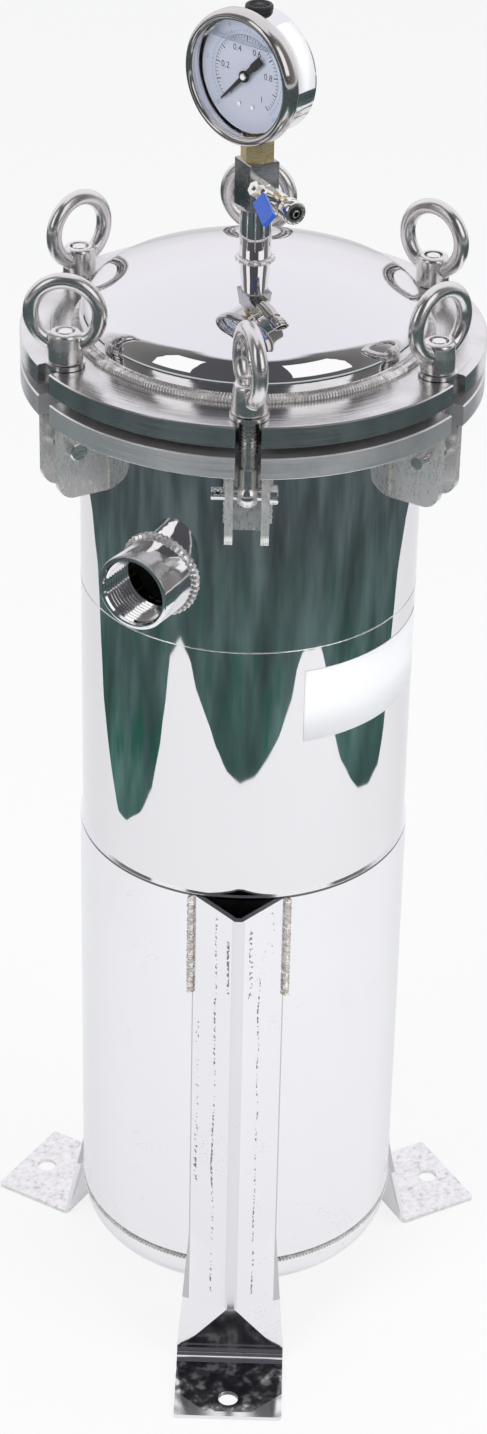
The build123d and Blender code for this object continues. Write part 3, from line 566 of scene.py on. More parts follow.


# painted reflection for the front mirror foot: dark clouds with a few pale patches
paintedFootReflection = [
    (0.36, (0.11, 0.11, 0.125)), (0.50, (0.19, 0.185, 0.20)), (0.58, (0.42, 0.41, 0.40)),
    (0.64, (0.90, 0.89, 0.88)),
]
etchedFoot = [
    (0.30, (0.62, 0.61, 0.60)), (0.40, (0.80, 0.79, 0.78)), (0.55, (0.88, 0.87, 0.87)),
    (0.72, (0.94, 0.93, 0.93)),
]
finish = {
    "mirror": mirrorSteel(), "sleeve": sleeveSteel(), "cast": castSteel(), "turned": turnedSteel(),
    "lug": lugSteel(),
    "lidFlange": flangeSteel("lidFlangeSteel", (0.80, 0.79, 0.79), 0.13, 0.22),
    "bodyFlange": flangeSteel("bodyFlangeSteel", (0.88, 0.87, 0.88), 0.30, 0.42, 0.88),
    "legFront": legSteel("legFrontSteel", -90, paintedFootReflection, 150.0, True),
    "legRight": legSteel("legRightSteel", 30, etchedFoot, 240.0, False),
    "legLeft": legSteel("legLeftSteel", 150, etchedFoot, 240.0, False),
    "weld": smudgedSkin("weldSteel", (0.84, 0.83, 0.82), 0.8, 0.28, 160.0, 0.20, 0.42, (0.4, 0.001),
    (0.66, 0.63, 0.60)),
    "burntWeld": smudgedSkin(
        "burntWeld", (0.88, 0.86, 0.83), 0.7, 0.34, 220.0, 0.26, 0.46, (0.4, 0.001), (0.62, 0.52, 0.43)),
    "brass": brassMetal(), "rubber": blackRubber(), "felt": bagFelt(),
    "nickel": smudgedSkin("nickelPlate", (0.90, 0.87, 0.81), 1.0, 0.14, 160.0, 0.09, 0.20),
    "blue": smudgedSkin(
        "blueCover", (0.02, 0.10, 0.52), 0.0, 0.30, 120.0, 0.24, 0.42, (0.2, 0.001), (0.03, 0.13, 0.60),
        Coat_Weight=0.3),
    "paper": smudgedSkin("labelPaper", (0.97, 0.97, 0.98), 0.0, 0.38, 40.0, 0.30, 0.46, (0.08, 0.001)),
    "dial": smudgedSkin("dialEnamel", (0.66, 0.70, 0.84), 0.0, 0.35, 40.0, 0.30, 0.42),
    "glass": smudgedSkin(
        "clearGlass", (1.0, 1.0, 1.0), 0.0, 0.02, 30.0, 0.0, 0.03, Transmission_Weight=1.0, IOR=1.1),
    "liquid": smudgedSkin(
        "dampingLiquid", (0.90, 0.94, 1.0), 0.0, 0.03, 60.0, 0.02, 0.06, Transmission_Weight=0.8, IOR=1.2),
    "seat": smudgedSkin("seatPlastic", (0.85, 0.85, 0.83), 0.0, 0.4, 60.0, 0.34, 0.5),
    "ring": smudgedSkin("ringPlastic", (0.82, 0.82, 0.79), 0.0, 0.4, 60.0, 0.34, 0.5),
    "ink": smudgedSkin("dialInk", (0.012, 0.012, 0.014), 0.0, 0.45, 200.0, 0.38, 0.5),
    "paleInk": smudgedSkin("paleInk", (0.16, 0.42, 0.72), 0.0, 0.45, 200.0, 0.38, 0.5),
    "block": turnedSteel("blockSteel", (0.40, 0.41, 0.43), 0.05, 0.12),
    "pin": turnedSteel("pinWireSteel", (0.66, 0.65, 0.64), 0.12, 0.22),
    "gaugeSteel": castSteel("gaugeSteel", (0.86, 0.85, 0.86), 0.07),
    "socket": castSteel("socketSteel", (0.88, 0.87, 0.88), 0.07),
    "bezel": castSteel("bezelSteel", (0.70, 0.67, 0.65), 0.10),
}
finishNodes = {
    "mirror": "main_shell upper_shell lid_head lid_stem", "sleeve": "lower_sleeve bottom_head",
    "bodyFlange": "body_flange", "lidFlange": "lid_flange", "lug": "bolt_lugs", "block": "gauge_block",
    "rubber": "lid_gasket basket_seal gauge_fill_plug", "cast": "inlet_socket outlet_socket",
    "felt": "filter_bag",
    "turned": "basket_seat filter_basket clevis_pins split_pins", "ring": "bag_ring", "seat": "valve_seats",
    "brass": "gauge_connector gauge_movement bourdon_tube", "gaugeSteel": "gauge_case gauge_bezel",
    "glass": "gauge_window", "dial": "gauge_dial", "ink": "gauge_pointer", "blue": "lever_sleeve",
    "nickel": "valve_body valve_ball valve_stem valve_lever lever_nut outlet_nut",
    "legFront": "leg_front", "legRight": "leg_right", "legLeft": "leg_left",
}
nodeFinish = {name: key for key, names in finishNodes.items() for name in names.split()}
for number in range(1, 7):
    nodeFinish[f"swing_bolt_{number}"] = "turned"
    nodeFinish[f"nut_washer_{number}"] = "cast"
    nodeFinish[f"eye_nut_{number}"] = "cast"
for name, key in nodeFinish.items():
    slots = nodes[name].data.materials
    slots.clear()
    slots.append(finish[key])
print("materials on", len(nodeFinish), "nodes")


# making pieces
def finishPiece(name, bm, finishes, body="root", smoothAngle=35.0):
    mesh = bpy.data.meshes.new(name)
    bm.to_mesh(mesh)
    bm.free()
    piece = placeObject(name, mesh)
    for key in finishes.split():
        mesh.materials.append(finish[key])
    mesh.polygons.foreach_set("use_smooth", [True] * len(mesh.polygons))
    mesh.set_sharp_from_angle(angle=radians(smoothAngle))
    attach(piece, body)
    return piece


def faceOut(bm):
    bmesh.ops.recalc_face_normals(bm, faces=bm.faces)


def thicken(piece, name, thickness, offset):
    sheet = piece.modifiers.new(name, "SOLIDIFY")
    sheet.thickness, sheet.offset = thickness, offset


def spun(bm, outline, steps, centre=(0, 0, 0), axis=(0, 0, 1), closed=False):
    verts = [bm.verts.new(point) for point in outline]
    pairs = list(zip(verts, verts[1:])) + ([(verts[-1], verts[0])] if closed else [])
    edges = [bm.edges.new(pair) for pair in pairs]
    bmesh.ops.spin(bm, geom=verts + edges, cent=centre, axis=axis, angle=tau, steps=steps, use_merge=True)
    bmesh.ops.remove_doubles(bm, verts=bm.verts, dist=1e-6)
    faceOut(bm)


def finalMesh(piece):
    graph = bpy.context.evaluated_depsgraph_get()
    return bpy.data.meshes.new_from_object(piece.evaluated_get(graph))


def joinPart(bm, part):
    mesh = bpy.data.meshes.new("part")
    part.to_mesh(mesh)
    bm.from_mesh(mesh)
    part.free()
    bpy.data.meshes.remove(mesh)


def turnVerts(bm, verts, degrees, axis):
    bmesh.ops.rotate(bm, cent=(0, 0, 0), matrix=Matrix.Rotation(radians(degrees), 3, axis), verts=verts)


def turnZ(degrees, size=3):
    return Matrix.Rotation(radians(degrees), size, "Z")


def azimuthPoint(reach, azimuth, height):
    turn = radians(azimuth)
    return Vector((reach * cos(turn), reach * sin(turn), height))


def weldBead(bm, points, radius, ripple, closed):
    # a tube along the points whose thickness ripples like laid weld metal
    count = len(points)
    previous = None
    first = None
    for index, point in enumerate(points):
        ahead = points[(index + 1) % count] if closed or index + 1 < count else point
        behind = points[index - 1] if closed or index else point
        along = (ahead - behind).normalized()
        swell = radius * (1.0 + ripple * cos(index * pi))
        circle = bmesh.ops.create_circle(bm, segments=8, radius=swell)["verts"]
        turn = along.to_track_quat("Z", "Y").to_matrix().to_4x4()
        bmesh.ops.transform(bm, matrix=Matrix.Translation(point) @ turn, verts=circle)
        rim = list({edge for vert in circle for edge in vert.link_edges if edge.other_vert(vert) in circle})
        if previous:
            bmesh.ops.bridge_loops(bm, edges=previous + rim)
        previous = rim
        first = first or rim
    if closed:
        bmesh.ops.bridge_loops(bm, edges=previous + first)
    else:
        bmesh.ops.holes_fill(bm, edges=bm.edges, sides=8)
    faceOut(bm)


def circlePoints(reach, height, count):
    return [azimuthPoint(reach, 360.0 * i / count, height) for i in range(count)]


beadSet = {
    "bottom": (0.1100, 0.0765, 560, 0.0016, 0.16), "dome": (0.1112, 0.7462, 720, 0.0030, 0.11),
    "neck": (0.1100, 0.7100, 500, 0.0018, 0.12), "seam": (0.1093, 0.5710, 200, 0.0005, 0.10),
}
for key, (reach, height, count, radius, ripple) in beadSet.items():
    bm = bmesh.new()
    weldBead(bm, circlePoints(reach, height, count), radius, ripple, True)
    finishPiece(f"weld_{key}", bm, "weld" if key != "seam" else "turned")
print("ring welds done")

# welds that follow a line on the vessel
def saddlePoints(reach, azimuth, height, radius, count):
    points = []
    for index in range(count):
        turn = tau * index / count
        side, rise = radius * cos(turn), radius * sin(turn)
        out = sqrt(reach ** 2 - side ** 2)
        points.append(turnZ(azimuth) @ Vector((out, side, height + rise)))
    return points


legSet = {
    "sleeve": 0.1112, "half": 0.0318, "low": 0.308, "high": 0.385, "azimuths": (-90, 30, 150),
    "count": 90, "radius": 0.0024, "ripple": 0.12,
}
# weld's reach, azimuth, height, bead radius
socketBeads = ((0.1100, -120, 0.618, 0.0022), (0.1115, 60, 0.140, 0.0020))
saddleRadius = 0.0257
# reach, height, bead radius, ripple
stemBeads = ((0.0108, 0.7912, 0.0017, 0.18), (0.0102, 0.8255, 0.0009, 0.12))
lugSet = {
    "side": 0.0141, "ripple": 0.25, "flangeStart": 0.112, "flangeRun": 0.0285, "flangeLevel": 0.7107,
    "shellReach": 0.1096, "shellFoot": 0.663, "shellRun": 0.046,
}


def legWelds():
    bm = bmesh.new()
    out = sqrt(legSet["sleeve"] ** 2 - legSet["half"] ** 2)
    for azimuth in legSet["azimuths"]:
        turn = turnZ(azimuth)
        for side in (-1, 1):
            points = []
            for index in range(legSet["count"]):
                height = legSet["low"] + (legSet["high"] - legSet["low"]) * index / (legSet["count"] - 1)
                wander = 0.0003 * sin(index * 1.7) * sin(index * 0.37)
                points.append(turn @ Vector((out, side * (legSet["half"] + wander), height)))
            weldBead(bm, points, legSet["radius"], legSet["ripple"], False)
    return finishPiece("weld_legs", bm, "burntWeld")


def socketWelds():
    bm = bmesh.new()
    for reach, azimuth, height, bead in socketBeads:
        weldBead(bm, saddlePoints(reach, azimuth, height, saddleRadius, 90), bead, 0.20, True)
    return finishPiece("weld_sockets", bm, "weld")


def stemWelds():
    bm = bmesh.new()
    for reach, height, bead, ripple in stemBeads:
        weldBead(bm, circlePoints(reach, height, 40), bead, ripple, True)
    return finishPiece("weld_stem", bm, "weld")


def lugWelds():
    lug = lugSet
    bm = bmesh.new()
    for azimuth in range(-90, 270, 60):
        turn = turnZ(azimuth)
        for side in (-lug["side"], lug["side"]):
            points = [turn @ Vector((lug["flangeStart"] + lug["flangeRun"] * i / 14, side, lug["flangeLevel"]))
                      for i in range(15)]
            weldBead(bm, points, 0.0011, lug["ripple"], False)
            out = sqrt(lug["shellReach"] ** 2 - side ** 2)
            points = [turn @ Vector((out, side,
                lug["shellFoot"] + lug["shellRun"] * i / 22)) for i in range(23)]
            weldBead(bm, points, 0.0010, lug["ripple"], False)
    return finishPiece("weld_lugs", bm, "burntWeld")


legWelds(), socketWelds(), stemWelds(), lugWelds()
print("line welds done")

# swing bolts and eye nuts
boltSet = {
    "reach": 0.131, "pin": 0.694, "radius": 0.0060, "root": 0.0046, "pitch": 0.0022, "threadFoot": 0.7125,
    "top": 0.7680, "eye": 0.0085, "half": 0.0060, "bore": 0.00405,
    "azimuths": (-90, -30, 30, 90, 150, 210),
}
nutSet = {
    "foot": 0.7484, "top": 0.7681, "hub": 0.0110, "hubTop": 0.0098, "ringReach": 0.0212, "wire": 0.0050,
    "rise": 0.0115, "bore": 0.00605, "planes": (-73, -135, -38, -15, -135, -5), "voxel": 0.0007,
}


def threadHelix(bm, radiusCrest, radiusRoot, foot, pitch, turns, stepsPerTurn):
    # one pitch of the thread's profile, screwed up the Z axis
    profile = [bm.verts.new((r, 0, foot + pitch * share)) for r, share in
               ((radiusRoot, 0.0), (radiusRoot, 0.1), (radiusCrest, 0.47), (radiusCrest, 0.60),
               (radiusRoot, 1.0))]
    edges = [bm.edges.new(pair) for pair in zip(profile, profile[1:])]
    bmesh.ops.spin(bm, geom=profile + edges, cent=(0, 0, 0), axis=(0, 0, 1), dvec=(0, 0, pitch / stepsPerTurn),
                   angle=tau * turns, steps=stepsPerTurn * turns)


def swingBolt(number, azimuth):
    b = boltSet
    bm = bmesh.new()
    turns = int((b["top"] - b["threadFoot"]) / b["pitch"]) - 1
    threadHelix(bm, b["radius"], b["root"], b["threadFoot"], b["pitch"], turns, 24)
    bmesh.ops.remove_doubles(bm, verts=bm.verts, dist=2e-6)
    core = bmesh.new()
    spun(core, [(0, 0, b["pin"] + 0.004), (b["radius"], 0, b["pin"] + 0.004),
                (b["radius"], 0, b["threadFoot"] - 0.0004),
                (b["root"], 0, b["threadFoot"] + 0.0004), (b["root"], 0, b["top"] - 0.0006),
                (b["root"] - 0.0006, 0, b["top"]), (0, 0, b["top"])], 32)
    joinPart(bm, core)
    bmesh.ops.translate(bm, vec=(b["reach"], 0, 0), verts=bm.verts)
    eye = bmesh.new()
    half, outer, bore = b["half"], b["eye"], b["bore"]
    crown = [(outer - 0.0026 * (abs(step) / 5) ** 2.2, half * step / 5) for step in range(-5, 6)]
    spun(eye, [(b["reach"] + r, y, b["pin"]) for r, y in [(bore, -half)] + crown + [(bore, half)]],
         40, (b["reach"], 0, b["pin"]), (0, 1, 0), True)
    joinPart(bm, eye)
    turnVerts(bm, bm.verts, azimuth, "Z")
    faceOut(bm)
    piece = finishPiece(f"threaded_bolt_{number}", bm, "turned", f"bolt_{number}", 30)
    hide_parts(f"swing_bolt_{number}")


def applyModifiers(piece):
    mesh = finalMesh(piece)
    old = piece.data
    piece.modifiers.clear()
    piece.data = mesh
    mesh.name = old.name
    bpy.data.meshes.remove(old)


def eyeNutMesh():
    n = nutSet
    bm = bmesh.new()
    ringZ = n["top"] + n["rise"]
    circle = bmesh.ops.create_circle(bm, segments=28, radius=n["wire"])["verts"]
    bmesh.ops.translate(bm, vec=(n["ringReach"], 0, ringZ), verts=circle)
    edges = list({edge for vert in circle for edge in vert.link_edges})
    bmesh.ops.spin(bm, geom=circle + edges, cent=(0, 0, ringZ), axis=(0, 1, 0), angle=tau, steps=96,
        use_merge=True)
    bmesh.ops.remove_doubles(bm, verts=bm.verts, dist=1e-6)
    hub = bmesh.new()
    spun(hub, [(0, 0, n["foot"]), (n["hub"] - 0.0008, 0, n["foot"]), (n["hub"], 0, n["foot"] + 0.0008),
               (n["hub"] - 0.0003, 0, n["foot"] + 0.010), (n["hubTop"], 0, n["top"] - 0.0015),
               (n["hubTop"] - 0.0012, 0, n["top"]),
               (0, 0, n["top"] + 0.0004)], 48)
    joinPart(bm, hub)
    faceOut(bm)
    mesh = bpy.data.meshes.new("eyeNut")
    bm.to_mesh(mesh)
    bm.free()
    blank = placeObject("eyeNutBlank", mesh)
    blank.modifiers.new("skin", "REMESH").voxel_size = n["voxel"]
    soften = blank.modifiers.new("blend", "SMOOTH")
    soften.factor, soften.iterations = 0.5, 10
    cutter = bmesh.new()
    bmesh.ops.create_cone(cutter, cap_ends=True, segments=32, radius1=n["bore"], radius2=n["bore"],
        depth=0.0215)
    bmesh.ops.translate(cutter, vec=(0, 0, n["foot"] - 0.001 + 0.01075), verts=cutter.verts)
    cutterMesh = bpy.data.meshes.new("boreCutter")
    cutter.to_mesh(cutterMesh)
    cutter.free()
    cutterPiece = placeObject("boreCutter", cutterMesh)
    bore = blank.modifiers.new("bore", "BOOLEAN")
    bore.operation, bore.object, bore.solver = "DIFFERENCE", cutterPiece, "EXACT"
    applyModifiers(blank)
    made = blank.data
    bpy.data.objects.remove(blank)
    bpy.data.objects.remove(cutterPiece)
    bpy.data.meshes.remove(cutterMesh)
    return made


def eyeNut(number, azimuth, plane, source):
    bm = bmesh.new()
    bm.from_mesh(source)
    turnVerts(bm, bm.verts, plane, "Z")
    bmesh.ops.translate(bm, vec=azimuthPoint(boltSet["reach"], azimuth, 0), verts=bm.verts)
    piece = finishPiece(f"ring_nut_{number}", bm, "cast", f"nut_{number}", 40)
    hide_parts(f"eye_nut_{number}")


nutBlank = eyeNutMesh()
for number, azimuth in enumerate(boltSet["azimuths"], 1):
    swingBolt(number, azimuth)
    eyeNut(number, azimuth, nutSet["planes"][number - 1], nutBlank)
print("bolts and nuts done")

# split pins: a bent wire with a loop at one end and two opened legs
pinSet = {"out": 0.131, "side": -0.01775, "height": 0.694, "tilt": 55.0, "wire": 0.0008}
pinRoute = [(-0.0098, -0.0040), (-0.0072, -0.0012), (-0.0040, -0.00075), (0.0015, -0.00075), (0.0042, -0.0010),
            (0.0060, -0.0031), (0.0092, -0.0030), (0.0106, 0.0), (0.0092, 0.0030), (0.0060, 0.0031),
            (0.0042, 0.0010), (0.0015, 0.00075), (-0.0040, 0.00075), (-0.0066, 0.0014), (-0.0082, 0.0046)]


def splitPins():
    bm = bmesh.new()
    for azimuth in boltSet["azimuths"]:
        curve = bpy.data.curves.new("pinWire", "CURVE")
        curve.dimensions = "3D"
        curve.bevel_depth = pinSet["wire"]
        curve.bevel_resolution = 3
        spline = curve.splines.new("NURBS")
        spline.points.add(len(pinRoute) - 1)
        spline.use_endpoint_u, spline.order_u, spline.resolution_u = True, 3, 6
        place = turnZ(azimuth, 4) @ Matrix.Translation(
            (pinSet["out"], pinSet["side"], pinSet["height"])) @ Matrix.Rotation(radians(pinSet["tilt"] - 8), 4,
            "Y")
        for point, (along, across) in zip(spline.points, pinRoute):
            point.co = (*(place @ Vector((0, across, along))), 1)
        wire = placeObject("pinWire", curve)
        mesh = finalMesh(wire)
        bm.from_mesh(mesh)
        bpy.data.meshes.remove(mesh)
        bpy.data.objects.remove(wire)
        bpy.data.curves.remove(curve)
    bmesh.ops.holes_fill(bm, edges=bm.edges, sides=12)
    faceOut(bm)
    piece = finishPiece("bent_split_pins", bm, "pin", smoothAngle=50)
    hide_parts("split_pins")


splitPins()
print("split pins done")

# threaded sockets
socketSet = {"radius": 0.025, "minor": 0.0195, "major": 0.02095, "mouth": 0.1395, "pitch": 0.0028, "turns": 8,
    "start": 0.1058}


def threadedSocket(name, node, azimuth, height):
    k = socketSet
    bm = bmesh.new()
    threadFoot = k["mouth"] - 0.0012 - k["turns"] * k["pitch"]
    threadHelix(bm, k["minor"], k["major"], threadFoot - k["pitch"], k["pitch"], k["turns"], 64)
    bmesh.ops.remove_doubles(bm, verts=bm.verts, dist=2e-6)
    wall = bmesh.new()
    spun(wall, [(k["minor"], 0, k["start"]), (k["minor"], 0, threadFoot - 0.5 * k["pitch"]),
                (k["major"] + 0.0001, 0, threadFoot),
                (k["major"] + 0.0001, 0, k["mouth"] - 0.0014), (k["major"] + 0.0009, 0, k["mouth"]),
                (k["radius"] - 0.0010, 0, k["mouth"]), (k["radius"] - 0.0003, 0, k["mouth"] - 0.0003),
                (k["radius"], 0, k["mouth"] - 0.0010), (k["radius"], 0, k["start"])], 96, closed=True)
    joinPart(bm, wall)
    place = Matrix.Translation((0, 0, height)) @ turnZ(azimuth, 4) @ Matrix.Rotation(pi / 2, 4, "Y")
    bmesh.ops.transform(bm, matrix=place, verts=bm.verts)
    piece = finishPiece(name, bm, "socket", smoothAngle=28)
    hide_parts(node)


threadedSocket("threaded_inlet", "inlet_socket", -120, 0.618)
threadedSocket("threaded_outlet", "outlet_socket", 60, 0.140)
print("sockets done")

# vent valve's outlet
ventSet = {"azimuth": -60, "height": 0.838, "start": 0.0390, "end": 0.0490, "nut": 0.0075, "tube": 0.0023,
    "bore": 0.0013}


def ventOutlet():
    v = ventSet
    bm = bmesh.new()
    start, end, nut = v["start"], v["end"], v["nut"]
    spun(bm, [(start, 0.0044, 0), (start, nut - 0.0008, 0), (start + 0.0008, nut, 0), (start + 0.0042, nut, 0),
              (start + 0.0046, nut - 0.0005, 0), (start + 0.0050, nut, 0), (end - 0.0014, nut, 0),
              (end - 0.0004, nut - 0.0007, 0), (end - 0.0002, nut - 0.0014, 0), (end - 0.0006, nut - 0.0017, 0),
              (end - 0.0006, 0.0044, 0)], 48, axis=(1, 0, 0), closed=True)
    shell = len(bm.faces)
    spun(bm, [(end - 0.0008, 0.0044, 0), (end - 0.0006, nut - 0.0017, 0), (end - 0.0014, nut - 0.0021, 0),
              (end - 0.0018, v["tube"], 0), (end - 0.0030, v["tube"], 0), (end - 0.0030, 0.0044, 0)], 48,
              axis=(1, 0, 0), closed=True)
    gland = len(bm.faces)
    spun(bm, [(end - 0.0030, v["bore"], 0), (end - 0.0030, v["tube"], 0), (end + 0.0004, v["tube"], 0),
              (end + 0.0008, v["tube"] - 0.0003, 0),
              (end + 0.0008, v["bore"] + 0.0002, 0), (end + 0.0002, v["bore"], 0)], 32, axis=(1, 0, 0),
              closed=True)
    bm.faces.ensure_lookup_table()
    for face in bm.faces[shell:gland]:
        face.material_index = 1
    place = Matrix.Translation((0, 0, v["height"])) @ turnZ(v["azimuth"], 4)
    bmesh.ops.transform(bm, matrix=place, verts=bm.verts)
    piece = finishPiece("vent_outlet_nut", bm, "nickel rubber")
    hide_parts("outlet_nut")


ventOutlet()

# gauge
gaugeSet = {
    "azimuth": -130, "height": 0.912, "face": 0.01085, "tickOuter": 0.0248, "zero": 225, "sweep": 270,
    "caseRadius": 0.0385, "opening": 0.0360, "liquidLevel": 0.0215, "numberTurn": 54,
}
gaugePlace = Matrix.Translation((0, 0, gaugeSet["height"])) @ turnZ(gaugeSet["azimuth"], 4)


def onGauge(bm):
    bmesh.ops.transform(bm, matrix=gaugePlace, verts=bm.verts)
    return bm


def scaleTicks(bm, count, every, inner, outer, longInner, width, longWidth):
    for index in range(count + 1):
        long = index % every == 0
        low, wide = (longInner, longWidth) if long else (inner, width)
        turn = radians(gaugeSet["zero"] - gaugeSet["sweep"] * index / count)
        tick = bmesh.ops.create_grid(bm, x_segments=1, y_segments=1, size=0.5)["verts"]
        bmesh.ops.scale(bm, vec=(outer - low, wide, 1), verts=tick)
        bmesh.ops.translate(bm, vec=((outer + low) / 2, 0, 0), verts=tick)
        # the dial's plane: local Y to the right, local Z up
        bmesh.ops.transform(bm, matrix=Matrix.Rotation(radians(90), 4, "X").to_4x4(), verts=tick)
        bmesh.ops.transform(bm, matrix=turnZ(90, 4), verts=tick)
        bmesh.ops.transform(bm, matrix=Matrix.Rotation(turn, 4, "X"), verts=tick)
    return bm


def scaleArc(bm, reach, width, steps=90):
    verts = [bm.verts.new((0, reach - width / 2, 0)), bm.verts.new((0, reach + width / 2, 0))]
    edge = bm.edges.new(verts)
    turnVerts(bm, verts, gaugeSet["zero"] - gaugeSet["sweep"], "X")
    bmesh.ops.spin(bm, geom=verts + [edge], cent=(0, 0, 0), axis=(1, 0, 0), angle=radians(gaugeSet["sweep"]),
        steps=steps)


def dialText(bm, text, reach, angle, size):
    curve = bpy.data.curves.new("dialText", "FONT")
    curve.body, curve.size, curve.align_x, curve.align_y = text, size, "CENTER", "CENTER"
    curve.resolution_u = 3
    word = placeObject("dialText", curve)
    mesh = finalMesh(word)
    turn = radians(angle)
    upright = Matrix(((0, 0, 1, 0), (1, 0, 0, reach * cos(turn)), (0, 1, 0, reach * sin(turn)), (0, 0, 0, 1)))
    mesh.transform(upright)
    bm.from_mesh(mesh)
    bpy.data.meshes.remove(mesh)
    bpy.data.objects.remove(word)
    bpy.data.curves.remove(curve)


def dialMarks():
    bm = bmesh.new()
    scaleTicks(bm, 50, 5, 0.0228, gaugeSet["tickOuter"], 0.0216, 0.00034, 0.00065)
    scaleArc(bm, gaugeSet["tickOuter"], 0.00022)
    for index, text in enumerate(("0", "0.2", "0.4", "0.6", "0.8", "1")):
        dialText(bm, text, 0.0172, gaugeSet["zero"] - gaugeSet["numberTurn"] * index, 0.0056)
    bmesh.ops.translate(bm, vec=(gaugeSet["face"], 0, 0), verts=bm.verts)
    finishPiece("dial_marks", onGauge(bm), "ink")
    bm = bmesh.new()
    scaleTicks(bm, 50, 10, 0.0272, 0.0286, 0.0266, 0.00026, 0.00046)
    scaleArc(bm, 0.0272, 0.0002)
    for index in range(6):
        dialText(bm, str(2 * index), 0.0316, gaugeSet["zero"] - gaugeSet["numberTurn"] * index, 0.0040)
    bmesh.ops.translate(bm, vec=(gaugeSet["face"], 0, 0), verts=bm.verts)
    finishPiece("dial_outer_marks", onGauge(bm), "paleInk")


def dialScrews():
    bm = bmesh.new()
    for side in (-0.0052, 0.0052):
        head = bmesh.ops.create_cone(bm, cap_ends=True, segments=20, radius1=0.0016, radius2=0.0013,
            depth=0.0007)["verts"]
        bmesh.ops.transform(bm, matrix=Matrix.Rotation(radians(90), 4, "Y"), verts=head)
        bmesh.ops.translate(bm, vec=(gaugeSet["face"] + 0.0003, side, -0.0188), verts=head)
        slotBox = bmesh.ops.create_cube(bm, size=1.0)["verts"]
        bmesh.ops.scale(bm, vec=(0.0002, 0.0023, 0.0004), verts=slotBox)
        bmesh.ops.rotate(bm, cent=(0, 0, 0), matrix=Matrix.Rotation(0.6, 3, "X"), verts=slotBox)
        bmesh.ops.translate(bm, vec=(gaugeSet["face"] + 0.0007, side, -0.0188), verts=slotBox)
    finishPiece("dial_screws", onGauge(bm), "turned")


def gaugeBezel():
    bm = bmesh.new()
    outline = [(0.0110, 0.0387), (0.0110, 0.0404), (0.0116, 0.0414), (0.0128, 0.0420), (0.0160, 0.0420),
               (0.0186, 0.0417),
               (0.0206, 0.0409), (0.0216, 0.0399), (0.0220, 0.0387), (0.0219, 0.0379), (0.0212, 0.0371),
               (0.0204, 0.0367),
               (0.0203, 0.0360), (0.0172, 0.0360), (0.0171, 0.0387)]
    spun(bm, [(x, r, 0) for x, r in outline], 128, axis=(1, 0, 0), closed=True)
    piece = finishPiece("rolled_bezel", onGauge(bm), "bezel", smoothAngle=50)
    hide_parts("gauge_bezel")


def gaugeLabel():
    bm = bmesh.new()
    verts = [bm.verts.new((-0.0068, gaugeSet["caseRadius"] + 0.00012, 0)),
        bm.verts.new((0.0088, gaugeSet["caseRadius"] + 0.00012, 0))]
    edge = bm.edges.new(verts)
    turnVerts(bm, verts, -4, "X")
    bmesh.ops.spin(bm, geom=verts + [edge], cent=(0, 0, 0), axis=(1, 0, 0), angle=radians(66), steps=40)
    faceOut(bm)
    piece = finishPiece("gauge_label", onGauge(bm), "paper")
    thicken(piece, "paper", 0.0001, 1.0)


def liquidEdge():
    # surface of the damping liquid between the dial and the window
    bm = bmesh.new()
    half = sqrt(gaugeSet["opening"] ** 2 - gaugeSet["liquidLevel"] ** 2)
    bmesh.ops.create_grid(bm, x_segments=1, y_segments=12, size=0.5)
    bmesh.ops.scale(bm, vec=(0.0056, 2 * half - 0.0006, 1), verts=bm.verts)
    bmesh.ops.translate(bm, vec=(0.0140, 0, gaugeSet["liquidLevel"]), verts=bm.verts)
    rim = bmesh.ops.extrude_face_region(bm, geom=list(bm.faces))["geom"]
    bmesh.ops.translate(bm, vec=(0, 0, 0.0004), verts=[g for g in rim if isinstance(g, bmesh.types.BMVert)])
    faceOut(bm)
    finishPiece("liquid_surface", onGauge(bm), "liquid")


def dialPointer():
    bm = bmesh.new()
    lift, thick = 0.0131, 0.0006
    blade = [(0.0262, 0.0), (0.0240, 0.0006), (0.0, 0.0016), (-0.0085, 0.0019), (-0.0100, 0.0026),
        (-0.0185, 0.0026)]
    rim = [bm.verts.new((lift, along, across)) for along, across in blade + [(a, -w) for a, w in blade[:0:-1]]]
    sheet = bm.faces.new(rim)
    raised = bmesh.ops.extrude_face_region(bm, geom=[sheet])["geom"]
    bmesh.ops.translate(bm, vec=(thick, 0, 0), verts=[g for g in raised if isinstance(g, bmesh.types.BMVert)])
    faceOut(bm)
    turnVerts(bm, bm.verts, gaugeSet["zero"], "X")
    spun(bm, [(lift - 0.0022, 0, 0), (lift - 0.0022, 0.0020, 0), (lift - 0.0002, 0.0020, 0),
              (lift - 0.0002, 0.0036, 0),
              (lift + 0.0009, 0.0036, 0), (lift + 0.0013, 0.0030, 0), (lift + 0.0013, 0, 0)], 40,
              axis=(1, 0, 0))
    blackParts = len(bm.faces)
    spun(bm, [(lift + 0.0013, 0, 0), (lift + 0.0013, 0.0022, 0), (lift + 0.0019, 0.0018, 0),
        (lift + 0.0021, 0, 0)], 32, axis=(1, 0, 0))
    bm.faces.ensure_lookup_table()
    for face in bm.faces[blackParts:]:
        face.material_index = 1
    piece = finishPiece("dial_pointer", onGauge(bm), "ink turned", "gauge_needle")
    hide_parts("gauge_pointer")


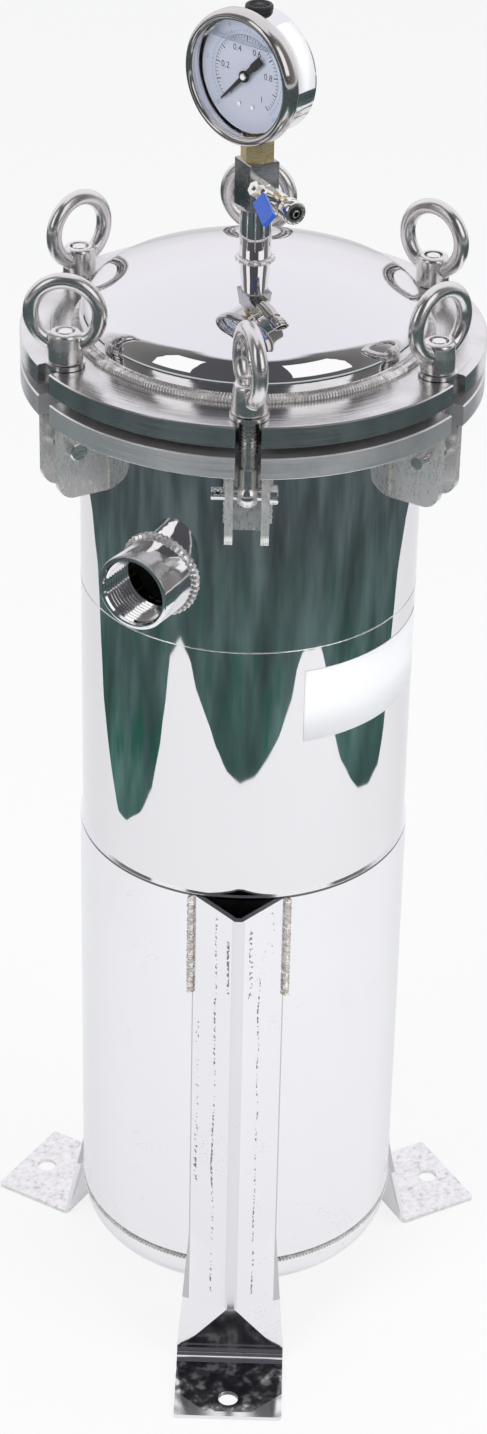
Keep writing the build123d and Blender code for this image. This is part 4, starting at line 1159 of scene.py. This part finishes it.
def fillPlug():
    bm = bmesh.new()
    base, top = gaugeSet["caseRadius"] - 0.0006, gaugeSet["caseRadius"] + 0.0036
    spun(bm, [(0, 0, base), (0.0080, 0, base), (0.0085, 0, base + 0.0010), (0.0085, 0, top - 0.0010),
              (0.0079, 0, top - 0.0002),
              (0.0066, 0, top), (0.0058, 0, top - 0.0009), (0.0028, 0, top - 0.0010), (0.0022, 0, top),
              (0, 0, top)], 48)
    for index in range(16):
        rib = bmesh.ops.create_cube(bm, size=1.0)["verts"]
        bmesh.ops.scale(bm, vec=(0.0036, 0.0007, 0.0009), verts=rib)
        bmesh.ops.translate(bm, vec=(0.0044, 0, top - 0.0008), verts=rib)
        bmesh.ops.rotate(bm, cent=(0, 0, 0), matrix=Matrix.Rotation(tau * index / 16, 3, "Z"), verts=rib)
    bmesh.ops.translate(bm, vec=(0.001, 0, 0), verts=bm.verts)
    piece = finishPiece("ribbed_plug", onGauge(bm), "rubber")
    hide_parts("gauge_fill_plug")


dialMarks(), dialScrews(), gaugeBezel(), gaugeLabel(), liquidEdge(), dialPointer(), fillPlug()
print("gauge dressed")

# blank shell label, felt bag
labelSet = {"reach": 0.10962, "start": -69.5, "end": -7.0, "low": 0.503, "high": 0.555}


def shellLabel():
    bm = bmesh.new()
    verts = [bm.verts.new(azimuthPoint(labelSet["reach"], labelSet["start"], labelSet[key])) for key in ("low",
        "high")]
    edge = bm.edges.new(verts)
    bmesh.ops.spin(bm, geom=verts + [edge], cent=(0, 0, 0), axis=(0, 0, 1),
                   angle=radians(labelSet["end"] - labelSet["start"]), steps=60)
    faceOut(bm)
    piece = finishPiece("shell_label", bm, "paper")
    thicken(piece, "paper", 0.00012, 1.0)


def feltBag():
    low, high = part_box("filter_bag")
    bm = bmesh.new()
    reach, wall = high.x, 0.002
    spun(bm, [(0, 0, low.z + 0.001), (reach * 0.5, 0, low.z), (reach * 0.92, 0, low.z + 0.003),
              (reach, 0, low.z + 0.020),
              (reach, 0, low.z + 0.15), (reach, 0, low.z + 0.29), (reach, 0, high.z)], 96)
    for vert in bm.verts:
        turn = atan2(vert.co.y, vert.co.x)
        fade = min(1.0, (high.z - vert.co.z) / 0.1)
        pinch = 1.0 - 0.012 * fade * (1 + sin(7 * turn + 9 * vert.co.z)) * 0.5
        vert.co.x, vert.co.y = vert.co.x * pinch, vert.co.y * pinch
    piece = finishPiece("felt_bag", bm, "felt", smoothAngle=60)
    thicken(piece, "felt", wall, -1.0)
    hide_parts("filter_bag")


shellLabel(), feltBag()
print("labels and bag done")
